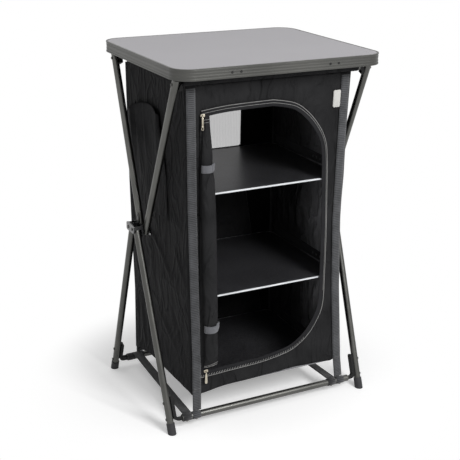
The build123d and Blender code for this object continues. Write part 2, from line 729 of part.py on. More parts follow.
with BuildPart() as mesh_window:
    with BuildSketch(Plane.XZ.offset(-front_face + (FABRIC - MESH_THICKNESS) / 2)):
        with Locations((0, (window_bottom + window_top) / 2)):
            RectangleRounded(
                2 * (WINDOW_HALF - SOFT_GAP),
                window_top - window_bottom - 2 * SOFT_GAP,
                WINDOW_CORNER_R - SOFT_GAP,
            )
    extrude(amount=MESH_THICKNESS)
save_hung(mesh_window.part, "mesh_window")

for side, side_name in ((-1, "left"), (1, "right")):
    corners = [(side * (body_half(level) - inset), level) for level, inset in (
        (BODY_BOTTOM, 0), (body_top, 0), (body_top, FABRIC), (BODY_BOTTOM, FABRIC))]
    with BuildPart() as side_panel:
        with BuildSketch(Plane.XZ):
            Polygon(*corners, align=None)
        extrude(amount=inner_front, both=True)
    save_hung(side_panel.part, f"side_panel_{side_name}")

for name, base in (("roof_panel", body_top - FABRIC), ("floor_panel", BODY_BOTTOM)):
    half_x = body_half(base) - FABRIC
    save_hung(slab((-half_x, -inner_front, base), (half_x, inner_front, base + FABRIC)), name)

# Sleeves at the top of the cabinet, round the upper cross tubes
for face in ("front", "rear"):
    with BuildPart() as sleeve:
        origin = (-hem_half, *FRAMES[f"upper_{face}"]["cross"])
        with BuildSketch(Plane(origin=origin, x_dir=(0, 1, 0), z_dir=(1, 0, 0))):
            Circle(sleeve_r)
            Circle(sleeve_r - HEM_THICKNESS, mode=Mode.SUBTRACT)
        extrude(amount=2 * hem_half)
    save(sleeve.part, f"hem_sleeve_{face}")

# Side pocket: a patch that stands off the panel, open at the top
pocket_side = -body_half(pocket_top) - SOFT_GAP
pocket_wall = FABRIC / 2
with BuildPart() as side_pocket:
    low = Vector(pocket_side - POCKET_DEPTH, POCKET_FRONT, pocket_bottom)
    high = Vector(pocket_side, POCKET_BACK, pocket_top)
    add(slab(low, high))
    lower_outer_edge = side_pocket.edges().filter_by(Axis.Y).group_by(Axis.Z)[0].sort_by(Axis.X)[0]
    chamfer(lower_outer_edge, POCKET_CHAMFER)
    offset(openings=side_pocket.faces().sort_by(Axis.Z)[-1], amount=-pocket_wall)
save_hung(side_pocket.part, "side_pocket")

with BuildPart() as care_label:
    with BuildSketch(Plane.XZ.offset(tape_back)):
        with Locations((LABEL_X, label_z)):
            RectangleRounded(LABEL_WIDTH, LABEL_HEIGHT, LABEL_CORNER_R)
    extrude(amount=FABRIC / 2)
save_hung(care_label.part, "care_label")


# Floor board and shelves
def make_board(top, front):
    """A shelf board with round back corners."""
    with BuildPart() as board:
        with BuildSketch(Plane.XY.offset(top - SHELF_THICKNESS)):
            back = inner_front - SHELF_GAP
            with Locations((0, (back - front) / 2)):
                Rectangle(2 * board_half, back + front)
        extrude(amount=SHELF_THICKNESS)
        fillet(board.edges().filter_by(Axis.Z).group_by(Axis.Y)[-1], SHELF_CORNER_R)
    return board.part


board_front = inner_front - SHELF_GAP
save_hung(make_board(floor_board_top, board_front), "floor_board")
for name, top in (("lower_shelf", lower_shelf_top), ("upper_shelf", upper_shelf_top)):
    save_hung(make_board(top, board_front - SHELF_EDGE_DEPTH), name)
    with BuildPart() as edge:
        add(
            slab(
                (-board_half, -board_front, top - SHELF_THICKNESS - SHELF_EDGE_LIP),
                (board_half, -board_front + SHELF_EDGE_DEPTH, top + SHELF_EDGE_LIP),
            )
        )
        fillet(edge.edges().filter_by(Axis.X).group_by(Axis.Y)[0], SHELF_EDGE_R)
    save_hung(edge.part, f"{name}_edge")

# Zip tape over, beside and under the doorway: the door is sewn on at its left side
door_height = slider_levels["upper"] - slider_levels["lower"]
with BuildPart() as zip_tape:
    with BuildSketch(Plane.XZ.offset(tape_back)):
        add(door_outline(0))
        add(door_outline(ZIP_WIDTH), mode=Mode.SUBTRACT)
        with Locations((DOOR_LEFT, slider_levels["lower"] + door_height / 2)):
            Rectangle(2 * (ZIP_WIDTH + SOFT_GAP), door_height - ZIP_WIDTH, mode=Mode.SUBTRACT)
    extrude(amount=ZIP_THICKNESS)
save_hung(zip_tape.part, "zip_tape")

roll_bottom = door_bottom_left + DOOR_BAND + ROLL_GAP
roll_top = door_top_left - DOOR_BAND - ROLL_GAP
roll_shoulder = tie_levels[1] + TIE_HEIGHT / 2
with BuildPart() as door_roll:
    with BuildSketch(Plane.XZ):
        Polygon(
            (0, roll_bottom), (ROLL_R, roll_bottom), (ROLL_R, roll_shoulder), (ROLL_TOP_R, roll_top),
            (0, roll_top), align=None,
        )
    revolve(axis=Axis.Z)
save_hung(Pos(ROLL_X, roll_y, 0) * door_roll.part, "door_roll")

tie_r = ROLL_R + SOFT_GAP + TIE_THICKNESS
tab_left = ROLL_X - tie_r - TIE_TAB
with BuildPart() as roll_ties:
    for level in tie_levels:
        with BuildSketch(Plane.XY.offset(level - TIE_HEIGHT / 2)):
            with Locations((ROLL_X, roll_y)):
                Circle(tie_r)
            with Locations(((tab_left + ROLL_X) / 2, -(tape_back + TIE_THICKNESS / 2))):
                Rectangle(ROLL_X - tab_left, TIE_THICKNESS)
            with Locations((ROLL_X, roll_y)):
                Circle(ROLL_R + SOFT_GAP, mode=Mode.SUBTRACT)
        extrude(amount=TIE_HEIGHT)
save_hung(roll_ties.part, "roll_ties")

# Zip sliders with the pulls that swing on them
slider_front = slider_back + SLIDER_DEPTH
ear_in = PULL_BARREL_WIDTH / 2 + MOVING_GAP
with BuildPart() as zip_sliders:
    for level in slider_levels.values():
        with BuildSketch(Plane.XZ.offset(slider_back)):
            with Locations((slider_x, level)):
                RectangleRounded(SLIDER_LENGTH, SLIDER_WIDTH, SLIDER_CORNER_R)
        extrude(amount=SLIDER_DEPTH)
        for sign in (-1, 1):
            with BuildSketch(Plane.YZ.offset(slider_x + sign * (ear_in + EAR_THICKNESS / 2))):
                with Locations((pull_y, level)):
                    Circle(PULL_BARREL_R)
                with Locations(((pull_y - slider_front) / 2, level)):
                    Rectangle(-pull_y - slider_front, 2 * PULL_BARREL_R)
            extrude(amount=EAR_THICKNESS / 2, both=True)
        with BuildSketch(Plane.YZ.offset(slider_x)):
            with Locations((pull_y, level)):
                Circle(SLIDER_PIN_R)
        extrude(amount=ear_in, both=True)
save_hung(zip_sliders.part, "zip_sliders")

for name, level in slider_levels.items():
    plate_middle = level - PULL_LENGTH / 2
    with BuildPart() as pull:
        with BuildSketch(Plane.XZ.offset(-pull_y - PULL_THICKNESS / 2)):
            with Locations((slider_x, plate_middle - PULL_BARREL_R)):
                RectangleRounded(PULL_WIDTH, PULL_LENGTH, PULL_CORNER_R)
            with Locations((slider_x, level)):
                Rectangle(PULL_WIDTH, 4 * PULL_BARREL_R, mode=Mode.SUBTRACT)
            with Locations((slider_x, level - 2 * PULL_BARREL_R)):
                Rectangle(PULL_BARREL_WIDTH, 4 * PULL_BARREL_R)
            with Locations((slider_x, level - PULL_LENGTH + PULL_BARREL_R)):
                Circle(PULL_HOLE_R, mode=Mode.SUBTRACT)
        extrude(amount=PULL_THICKNESS)
        with BuildSketch(Plane.YZ.offset(slider_x)):
            with Locations((pull_y, level)):
                Circle(PULL_BARREL_R)
        extrude(amount=PULL_BARREL_WIDTH / 2, both=True)
        with BuildSketch(Plane.YZ.offset(slider_x)):
            with Locations((pull_y, level)):
                Circle(SLIDER_PIN_R + PIN_CLEARANCE)
        extrude(amount=PULL_WIDTH, both=True, mode=Mode.SUBTRACT)
    save_hung(pull.part, f"zip_pull_{name}")

# Webbing: strips down the corners to the lower cross tubes, and straps under the cabinet
for face, sign in (("front", -1), ("rear", 1)):
    strip_back = tape_back if sign < 0 else -tape_back - WEBBING_THICKNESS
    with BuildPart() as strips:
        with BuildSketch(Plane.XZ.offset(strip_back)):
            for side, foot in zip((-1, 1), WEBBING_FOOT_XS):
                head = BODY_SHIFT + side * WEBBING_X
                half = WEBBING_WIDTH / 2
                Polygon(
                    (foot - half, webbing_bottom), (foot + half, webbing_bottom), (head + half, webbing_top),
                    (head - half, webbing_top), align=None,
                )
        extrude(amount=WEBBING_THICKNESS)
    save(strips.part, f"corner_webbing_{face}")

with BuildPart() as base_straps:
    for middle in BASE_STRAP_XS:
        left = middle - WEBBING_WIDTH / 2
        low = (left, -lower_cross_y, webbing_bottom)
        high = (left + WEBBING_WIDTH, lower_cross_y, webbing_bottom + WEBBING_THICKNESS)
        add(slab(low, high))
save(base_straps.part, "base_straps")
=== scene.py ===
import bpy
import json
import math
from bisect import bisect_right
from mathutils import Matrix, Vector, noise

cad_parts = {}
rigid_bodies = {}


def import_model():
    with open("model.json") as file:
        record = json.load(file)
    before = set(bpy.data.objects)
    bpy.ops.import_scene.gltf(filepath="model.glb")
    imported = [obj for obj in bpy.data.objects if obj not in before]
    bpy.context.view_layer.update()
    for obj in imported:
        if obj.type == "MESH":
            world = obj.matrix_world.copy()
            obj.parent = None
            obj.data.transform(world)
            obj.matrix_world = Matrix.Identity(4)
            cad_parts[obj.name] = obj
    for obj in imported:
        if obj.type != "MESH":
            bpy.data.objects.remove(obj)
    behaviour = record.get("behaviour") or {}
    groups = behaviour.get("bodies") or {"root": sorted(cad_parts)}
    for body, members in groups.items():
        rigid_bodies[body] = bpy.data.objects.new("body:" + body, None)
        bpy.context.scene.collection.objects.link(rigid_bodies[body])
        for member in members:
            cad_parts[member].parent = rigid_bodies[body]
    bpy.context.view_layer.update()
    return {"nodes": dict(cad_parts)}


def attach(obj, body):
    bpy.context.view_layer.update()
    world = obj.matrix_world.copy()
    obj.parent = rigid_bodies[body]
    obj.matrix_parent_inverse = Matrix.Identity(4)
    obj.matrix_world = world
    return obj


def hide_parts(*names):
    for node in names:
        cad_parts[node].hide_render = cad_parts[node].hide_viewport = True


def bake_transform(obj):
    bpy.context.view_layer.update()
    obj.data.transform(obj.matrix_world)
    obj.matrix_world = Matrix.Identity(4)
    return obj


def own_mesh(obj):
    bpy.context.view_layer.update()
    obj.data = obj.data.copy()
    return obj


for leftover in list(bpy.data.objects):
    bpy.data.objects.remove(leftover, do_unlink=True)
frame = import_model()
nodes = frame["nodes"]
scene = bpy.context.scene
print("stage: frame loaded")


# Sizes and points are in millimetres until newMesh makes them metres.
def lerp(a, b, share):
    return a + (b - a) * share


def smooth(value, low, high):
    share = min(max((value - low) / (high - low), 0.0), 1.0)
    return share * share * (3 - 2 * share)


def along(points, at):
    # straight lines between (key, value) pairs that rise in key
    keys = [p[0] for p in points]
    if at <= keys[0]:
        return points[0][1]
    if at >= keys[-1]:
        return points[-1][1]
    i = bisect_right(keys, at)
    share = (at - keys[i - 1]) / (keys[i] - keys[i - 1])
    return lerp(points[i - 1][1], points[i][1], share)


def smoothLine(points, step):
    # a Catmull-Rom line through the points, in steps of about one length
    pts = [Vector(p) for p in points]
    line = []
    for i in range(len(pts) - 1):
        a, b, c, d = pts[max(i - 1, 0)], pts[i], pts[i + 1], pts[min(i + 2, len(pts) - 1)]
        count = max(1, round((c - b).length / step))
        for k in range(count):
            t = k / count
            line.append(0.5 * (2 * b + (c - a) * t + (2 * a - 5 * b + 4 * c - d) * t * t
                               + (3 * b - a - 3 * c + d) * t ** 3))
    line.append(pts[-1])
    return line


def placed(name, data):
    made = bpy.data.objects.new(name, data)
    scene.collection.objects.link(made)
    return made


def tagged(piece, body, replaced):
    if body:  # a piece without a body takes no parent
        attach(piece, body)
    if replaced:
        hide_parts(*replaced)
    return piece


def newMesh(name, shape, look, body, replaced=(), smoothed=True):
    # a shape is (points, faces), or (points, faces, uvs) where a pattern follows the piece
    verts, faces, uvs = (*shape, None)[:3]
    mesh = bpy.data.meshes.new(name)
    mesh.from_pydata([[c * 0.001 for c in v] for v in verts], [], faces)
    if uvs:
        layer = mesh.uv_layers.new(name="run")
        for loop in mesh.loops:
            u, v = uvs[loop.vertex_index]
            layer.data[loop.index].uv = (u * 0.001, v * 0.001)
    mesh.polygons.foreach_set("use_smooth", [smoothed] * len(mesh.polygons))
    mesh.update()
    piece = placed(name, mesh)
    mesh.materials.append(looks[look])
    return tagged(piece, body, replaced)


def thicken(piece, thick, offset=-1.0):
    wall = piece.modifiers.new("thickness", "SOLIDIFY")
    wall.thickness = thick * 0.001
    wall.offset = offset
    return wall


def joined(parts):
    # several shapes as one
    verts, faces, uvs = [], [], []
    for part in parts:
        base = len(verts)
        verts += part[0]
        faces += [[i + base for i in f] for f in part[1]]
        uvs += part[2]
    return verts, faces, uvs


def sheetFaces(rows, columns, turned=False):
    # quads of a sheet whose points run row by row
    faces = []
    for i in range(rows):
        for k in range(columns):
            a, b = i * (columns + 1) + k, (i + 1) * (columns + 1) + k
            faces.append([a, b, b + 1, a + 1] if turned else [a, a + 1, b + 1, b])
    return faces


def bandFaces(rings, count, closed=False):
    # quads between rings of points
    faces = []
    for i in range(rings if closed else rings - 1):
        j = (i + 1) % rings
        for k in range(count):
            m = (k + 1) % count
            faces.append([i * count + k, i * count + m, j * count + m, j * count + k])
    return faces


def sweep(path, frames, section, capped=True, closed=False):
    # carries a closed section, given as (u, v) points, along a path with one (u, v) frame per point
    verts, uvs, run = [], [], 0.0
    for i, (p, (u, v)) in enumerate(zip(path, frames)):
        if i:
            run += (Vector(p) - Vector(path[i - 1])).length
        shape = section(i) if callable(section) else section
        count = len(shape)
        for a, b in shape:
            verts.append(tuple(Vector(p) + u * a + v * b))
            uvs.append((a, run))
    faces = bandFaces(len(path), count, closed)
    if capped and not closed:
        faces.append(list(range(count))[::-1])
        faces.append([len(verts) - count + k for k in range(count)])
    return verts, faces, uvs


def tangents(path):
    ends = zip([path[0], *path[:-1]], [*path[1:], path[-1]])
    return [(Vector(after) - Vector(before)).normalized() for before, after in ends]


def framesBy(path, normal):
    # the second direction stays near the normal, the first lies square to it and to the path
    frames = []
    for t in tangents(path):
        u = Vector(normal).cross(t).normalized()
        frames.append((u, t.cross(u).normalized()))
    return frames


def framesUp(path, up):
    # the first direction is kept, the second points out from the path
    return [(up, t.cross(up).normalized()) for t in tangents(path)]


def circle(sides):
    return [(math.cos(math.tau * k / sides), math.sin(math.tau * k / sides)) for k in range(sides)]


def roundSection(radius, sides=8):
    return [(radius * c, radius * s) for c, s in circle(sides)]


def flatSection(width, thick, parts=6, curl=0.0):
    # a strip's section with soft edges, slightly curled over its width
    half = width / 2
    top, low = [], []
    for k in range(parts + 1):
        u = -half + width * k / parts
        bend = curl * ((u / half) ** 2 - 1)
        edge = 0.55 if k in (0, parts) else 1.0
        top.append((u, bend + thick / 2 * edge))
        low.append((u, bend - thick / 2 * edge))
    return low + top[::-1]


def cord(path, radius, sides=8, normal=(0, -1, 0)):
    return sweep(path, framesBy(path, normal), roundSection(radius, sides))


def roundedOutline(left, right, front, back, frontRadius, backRadius, steps=6):
    points = []
    for cx, cy, start, r in ((right, back, 0, backRadius), (left, back, 90, backRadius),
                             (left, front, 180, frontRadius), (right, front, 270, frontRadius)):
        sx = cx - r if cx == right else cx + r
        sy = cy - r if cy == back else cy + r
        for k in range(steps + 1):
            a = math.radians(start + 90 / steps * k)
            points.append((sx + r * math.cos(a), sy + r * math.sin(a)))
    return points


# Materials
def linear(code):
    rgb = [int(code[i:i + 2], 16) / 255 for i in (1, 3, 5)]
    return tuple(c / 12.92 if c <= 0.04045 else ((c + 0.055) / 1.055) ** 2.4 for c in rgb) + (1.0,)


def addNode(tree, kind, inputs=(), output=0, **settings):
    # one node with its settings and links; it gives back the output that the next node reads
    made = tree.nodes.new(kind)
    for key, value in settings.items():
        setattr(made, key, value)
    for key, value in inputs.items() if isinstance(inputs, dict) else enumerate(inputs):
        if isinstance(value, bpy.types.NodeSocket):
            tree.links.new(value, made.inputs[key])
        else:
            made.inputs[key].default_value = value
    return made.outputs[output] if made.outputs else None


def weighed(tree, a, share, b, other):
    # two patterns added by their shares
    rest = addNode(tree, "ShaderNodeMath", (b, other), operation="MULTIPLY")
    return addNode(tree, "ShaderNodeMath", (a, share, rest), operation="MULTIPLY_ADD")


def waves(tree, value, pitch):
    # even waves, as yarns, ribs and rolled ridges make, with their pitch in metres
    turns = addNode(tree, "ShaderNodeMath", (value, math.tau / pitch), operation="MULTIPLY")
    return addNode(tree, "ShaderNodeMath", (turns,), operation="SINE")


def cleared(owner):
    owner.use_nodes = True
    owner.node_tree.nodes.clear()
    return owner.node_tree


def newMaterial(name, settings):
    material = bpy.data.materials.new(name)
    tree = cleared(material)
    surface = addNode(tree, "ShaderNodeBsdfPrincipled", settings)
    addNode(tree, "ShaderNodeOutputMaterial", {"Surface": surface})
    return material, tree, surface.node.inputs, addNode(tree, "ShaderNodeTexCoord", output="Object")


def finish(tree, shader, shade, colours, rough=None, height=None, depth=(1.0, 1.0), ends=(0.3, 0.7), fade=None):
    # the shade runs between two colours; rough is (pattern, least, most) and, if given, the pattern's own ends;
    # depth is the distance and the strength of the relief; fade darkens the colour as painted shade
    colour = addNode(tree, "ShaderNodeValToRGB", (shade,))
    for point, at, code in zip(colour.node.color_ramp.elements, ends, colours):
        point.position = at
        point.color = linear(code)
    if fade:
        colour = addNode(tree, "ShaderNodeVectorMath", {0: colour, "Scale": fade}, operation="SCALE")
    tree.links.new(colour, shader["Base Color"])
    if rough:
        pattern, least, most, low, high = (*rough, 0.0, 1.0)[:5]
        rough = addNode(tree, "ShaderNodeMapRange", (pattern, low, high, least, most))
        tree.links.new(rough, shader["Roughness"])
    if height:
        bump = addNode(tree, "ShaderNodeBump", {"Height": height, "Distance": depth[0], "Strength": depth[1]})
        tree.links.new(bump, shader["Normal"])


def wovenFabric(name, dark, light, pitch=0.0011, shine=0.1, crumple=0.0, paintedBackShade=0.0):
    # plain weave, drawn at twice its real pitch, with a soft change of shade and fine creases over the cloth
    material, tree, shader, where = newMaterial(name, {"Specular IOR Level": shine})
    x, y, z = addNode(tree, "ShaderNodeSeparateXYZ", (where,)).node.outputs
    level = addNode(tree, "ShaderNodeMath", (x, y), operation="ADD")
    yarns = (waves(tree, level, pitch), waves(tree, z, pitch))
    weave = addNode(tree, "ShaderNodeMath", yarns, operation="MULTIPLY")
    cloud = addNode(tree, "ShaderNodeTexNoise", {"Vector": where, "Scale": 14.0, "Detail": 3.0})
    fleck = addNode(tree, "ShaderNodeTexNoise", {"Vector": where, "Scale": 900.0, "Detail": 1.0})
    fade = None
    if paintedBackShade:  # painted shade: the lining darkens from the doorway towards the back, where less light reaches
        fade = addNode(tree, "ShaderNodeMapRange", (y, -0.19, 0.06, 1.0, 1.0 - paintedBackShade),
                       interpolation_type="SMOOTHSTEP")
    height = weighed(tree, weave, 0.00008, fleck, 0.0002)
    if crumple:  # ridged noise, drawn out down the cloth
        drawn = addNode(tree, "ShaderNodeVectorMath", (where, (1.0, 1.0, 0.45)), operation="MULTIPLY")
        ridge = addNode(tree, "ShaderNodeTexNoise", {
            "Vector": drawn, "Scale": 17.0, "Detail": 2.5, "Distortion": 0.7})
        for operation, values in (("SUBTRACT", (0.5,)), ("ABSOLUTE", ()), ("MULTIPLY_ADD", (-3.0, 1.0)),
                                  ("POWER", (4.0,)), ("MULTIPLY_ADD", (crumple, height))):
            ridge = addNode(tree, "ShaderNodeMath", (ridge, *values), operation=operation)
        height = ridge
    shade = weighed(tree, cloud, 0.75, fleck, 0.25)
    finish(tree, shader, shade, (dark, light), (cloud, 0.5, 0.66), height, fade=fade)
    return material


def brushedMetal(name, dark, light, scale, rough=(0.3, 0.42), slope=0.0, metal=1.0):
    # fine drawing marks along the piece; slope turns the marks into the plane of a leaning leg
    material, tree, shader, where = newMaterial(name, {"Metallic": metal, "Specular IOR Level": 0.5})
    if slope:
        x, y, z = addNode(tree, "ShaderNodeSeparateXYZ", (where,)).node.outputs
        side = addNode(tree, "ShaderNodeMath", (y,), operation="ABSOLUTE")
        side = addNode(tree, "ShaderNodeMath", (z, slope, side), operation="MULTIPLY_ADD")
        where = addNode(tree, "ShaderNodeCombineXYZ", (x, side, z))
    drawn = addNode(tree, "ShaderNodeVectorMath", (where, scale), operation="MULTIPLY")
    marks = addNode(tree, "ShaderNodeTexNoise", {
        "Vector": drawn, "Scale": 1.0, "Detail": 4.0, "Roughness": 0.6})
    cloud = addNode(tree, "ShaderNodeTexNoise", {"Vector": where, "Scale": 18.0})
    shade = weighed(tree, marks, 0.6, cloud, 0.4)
    finish(tree, shader, shade, (dark, light), (marks, *rough, 0.3, 0.7), marks, (0.00012, 0.5))
    return material


def grainyPlastic(name, dark, light, rough=(0.3, 0.45), coat=0.0, shine=0.5):
    # moulded: a fine pressed grain that breaks up the highlights, and a slow change of shade
    material, tree, shader, where = newMaterial(name, {"Specular IOR Level": shine, "Coat Weight": coat,
                                                       "Coat Roughness": 0.2})
    cloud = addNode(tree, "ShaderNodeTexNoise", {"Vector": where, "Scale": 25.0})
    fine = addNode(tree, "ShaderNodeTexNoise", {"Vector": where, "Scale": 700.0})
    finish(tree, shader, cloud, (dark, light), (cloud, *rough), fine, (0.00012, 0.5))
    return material


def ribbedWebbing(name, dark, light, pitch=0.005):
    # cross ribs by the strip's own run, drawn at twice their real pitch, with fine yarns along it
    material, tree, shader, where = newMaterial(name, {"Roughness": 0.72, "Sheen Weight": 0.2,
                                                       "Specular IOR Level": 0.35})
    run = addNode(tree, "ShaderNodeUVMap", uv_map="run")
    across, run = addNode(tree, "ShaderNodeSeparateXYZ", (run,)).node.outputs[:2]
    ribs = waves(tree, run, pitch)
    cloud = addNode(tree, "ShaderNodeTexNoise", {"Vector": where, "Scale": 40.0, "Detail": 3.0})
    shade = addNode(tree, "ShaderNodeMath", (cloud, 0.5, 0.25), operation="MULTIPLY_ADD")
    shade = addNode(tree, "ShaderNodeMath", (ribs, 0.16, shade), operation="MULTIPLY_ADD")
    height = weighed(tree, ribs, 1.0, waves(tree, across, 0.0016), 0.4)
    finish(tree, shader, shade, (dark, light), None, height, (0.0005, 0.8))
    return material


def windowMesh(name):
    # knitted mesh: fine upright yarns with holes between them, drawn coarser than real
    material, tree, shader, where = newMaterial(name, {"Roughness": 0.7, "Specular IOR Level": 0.3})
    x, y, z = addNode(tree, "ShaderNodeSeparateXYZ", (where,)).node.outputs
    yarns = weighed(tree, waves(tree, x, 0.0052), 0.7, waves(tree, z, 0.0032), 0.3)
    finish(tree, shader, yarns, ("#9a949c", "#b1abb2"), ends=(0.2, 0.9))
    tree.links.new(addNode(tree, "ShaderNodeMapRange", (yarns, -1.0, 1.0, 0.47, 0.58)), shader["Alpha"])
    return material


def speckledBoard(name, dark, light, scale, rough, height):
    # melamine face with a fine pressed grain
    material, tree, shader, where = newMaterial(name, {"Specular IOR Level": 0.5})
    fine = addNode(tree, "ShaderNodeTexNoise", {
        "Vector": where, "Scale": scale, "Detail": 3.0, "Roughness": 0.65})
    cloud = addNode(tree, "ShaderNodeTexNoise", {"Vector": where, "Scale": 6.0})
    shade = weighed(tree, fine, 0.8, cloud, 0.2)
    finish(tree, shader, shade, (dark, light), (fine, *rough), fine, (height, 0.6), (0.38, 0.62))
    return material


def rolledTrim(name):
    # extruded edge trim: rolled ridges along the rim, with fine drawing marks
    material, tree, shader, where = newMaterial(name, {"Metallic": 0.85, "Specular IOR Level": 0.5})
    drawn = addNode(tree, "ShaderNodeVectorMath", (where, (30.0, 30.0, 2600.0)), operation="MULTIPLY")
    marks = addNode(tree, "ShaderNodeTexNoise", {
        "Vector": drawn, "Scale": 1.0, "Detail": 3.0, "Roughness": 0.6})
    cloud = addNode(tree, "ShaderNodeTexNoise", {"Vector": where, "Scale": 7.0})
    x, y, z = addNode(tree, "ShaderNodeSeparateXYZ", (where,)).node.outputs
    height = addNode(tree, "ShaderNodeMath", (waves(tree, z, 0.0072), marks), operation="ADD")
    shade = weighed(tree, marks, 0.5, cloud, 0.5)
    finish(tree, shader, shade, ("#4b4b49", "#5f5f5c"), (marks, 0.34, 0.5), height, (0.0005, 0.3))
    return material


evenly, upright = (400.0, 400.0, 400.0), (900.0, 900.0, 14.0)  # drawing marks per metre along X, Y and Z
looks = {
    "shell": wovenFabric("coatedPolyester", "#222223", "#2e2e2f", shine=0.02, crumple=0.0052),
    # coated inner side, paler than the outside and drawn paler still as painted light near the doorway, with
    # painted shade towards the back
    "lining": wovenFabric("coatedSidePaintedLightShade", "#868689", "#adadb1", shine=0.06, crumple=0.006, paintedBackShade=0.9),
    "band": wovenFabric("smoothBand", "#303032", "#3a3a3c"),
    "bandRivet": grainyPlastic("greyRivet", "#4c4c4e", "#606062", (0.4, 0.55)),
    # near-black cloth: painted shade inside the back right of the seam and behind the pocket's mouth
    "paintedShadeCloth": wovenFabric("paintedShadeLining", "#0c0c0d", "#111112", shine=0.03),
    # the shell's cloth drawn paler: painted light to offset the shade on the pocket
    "pocket": wovenFabric("coatedPolyesterPocketPaintedLight", "#272728", "#353536", shine=0.018, crumple=0.004),
    "laminate": speckledBoard("greyLaminate", "#9a989c", "#a2a0a4", 1400.0, (0.42, 0.55), 0.00005),
    "board": speckledBoard("blackMelamine", "#151516", "#444447", 300.0, (0.3, 0.42), 0.00018),
    "trim": rolledTrim("rolledAluminium"),
    "cross": brushedMetal("drawnTubeLevel", "#4f4f4d", "#696966", (14.0, 900.0, 900.0)),
    "lowerLeg": brushedMetal("drawnTubeLower", "#474745", "#61615e", upright, slope=0.386),
    "upperLeg": brushedMetal("drawnTubeUpper", "#51514f", "#6b6b68", upright, slope=-0.427),
    "rail": brushedMetal("extrudedRail", "#77777a", "#8c8c8e", (900.0, 14.0, 900.0)),
    "hub": grainyPlastic("mouldedHub", "#151516", "#222224", (0.18, 0.3), coat=0.5, shine=0.4),
    "plastic": grainyPlastic("mouldedNylon", "#101011", "#191919", (0.4, 0.55), shine=0.18),
    "rubber": grainyPlastic("mouldedRubber", "#2b2b2d", "#38383a", (0.55, 0.7), shine=0.3),
    "steel": brushedMetal("zincPlatedSteel", "#8b8b88", "#b0aeaa", evenly, (0.25, 0.4)),
    "trimRivet": grainyPlastic("blackenedRivet", "#161616", "#242424", (0.4, 0.5), shine=0.3),
    "plate": brushedMetal("blackenedPlate", "#3f3f3e", "#555553", evenly, (0.35, 0.5)),
    "rivet": brushedMetal("burnishedRivet", "#3c3c3b", "#5a5a58", evenly, (0.35, 0.5)),
    "zipMetal": brushedMetal("castZinc", "#90897a", "#d8d0be", (500.0, 500.0, 500.0), (0.32, 0.45), metal=0.6),
    "webbing": ribbedWebbing("polyesterWebbing", "#252628", "#515255"),
    "strap": ribbedWebbing("darkWebbing", "#1e1e20", "#2d2d2f"),
    "tie": ribbedWebbing("tieTape", "#5c5d61", "#6f7075", 0.003),
    "label": wovenFabric("blankSatinLabel", "#bcbbb8", "#cfceca"),
    "edging": grainyPlastic("whiteEdging", "#d6d9dc", "#e8ebee", (0.3, 0.42)),
    "rim": grainyPlastic("paleEdging", "#77777a", "#8c8c8f", (0.35, 0.5)),
    "mesh": windowMesh("knittedMesh"),
    "zipTape": wovenFabric("zipTape", "#1a1a1c", "#262628"),
    "piping": wovenFabric("zipPiping", "#838381", "#a3a2a0"),
    "thread": wovenFabric("tanThread", "#8a7b5c", "#b09d78"),
}
print("stage: materials made")


# Rounded beads set out along lines: coil turns, stitches, rungs of a pull, snap rivets
def beadNodes():
    group = bpy.data.node_groups.new("beadsAlongLine", "GeometryNodeTree")
    face = group.interface
    face.new_socket("Geometry", in_out="INPUT", socket_type="NodeSocketGeometry")
    for label, kind in (("Spacing", "Float"), ("Size", "Vector"), ("Tilt", "Float"), ("Uneven", "Float"),
                        ("Seed", "Int"), ("Material", "Material")):
        face.new_socket(label, in_out="INPUT", socket_type="NodeSocket" + kind)
    face.new_socket("Geometry", in_out="OUTPUT", socket_type="NodeSocketGeometry")
    given = addNode(group, "NodeGroupInput").node.outputs
    line = addNode(group, "GeometryNodeMeshToCurve", (given["Geometry"],))
    spaced = addNode(group, "GeometryNodeResampleCurve", {"Curve": line, "Length": given["Spacing"]},
                     mode="LENGTH")
    ball = addNode(group, "GeometryNodeMeshUVSphere", {"Segments": 8, "Rings": 6, "Radius": 0.5})
    ball = addNode(group, "GeometryNodeSetShadeSmooth", (ball,))
    heading = addNode(group, "GeometryNodeInputTangent")
    turned = addNode(group, "FunctionNodeAlignRotationToVector", {"Vector": heading}, axis="X", pivot_axis="Y")
    tilt = addNode(group, "ShaderNodeCombineXYZ", {1: given["Tilt"]})
    tilt = addNode(group, "FunctionNodeEulerToRotation", (tilt,))
    turned = addNode(group, "FunctionNodeRotateRotation", (turned, tilt), rotation_space="LOCAL")
    low = addNode(group, "ShaderNodeMath", (1.0, given["Uneven"]), operation="SUBTRACT")
    high = addNode(group, "ShaderNodeMath", (1.0, given["Uneven"]), operation="ADD")
    varied = addNode(group, "FunctionNodeRandomValue", {2: low, 3: high, 8: given["Seed"]}, 1,
                     data_type="FLOAT")
    size = addNode(group, "ShaderNodeVectorMath", {0: given["Size"], "Scale": varied}, operation="SCALE")
    onLine = addNode(group, "GeometryNodeInstanceOnPoints", {
        "Points": spaced, "Instance": ball, "Rotation": turned, "Scale": size})
    real = addNode(group, "GeometryNodeRealizeInstances", (onLine,))
    worn = addNode(group, "GeometryNodeSetMaterial", {"Geometry": real, "Material": given["Material"]})
    addNode(group, "NodeGroupOutput", (worn,))
    return group


beadGroup = beadNodes()


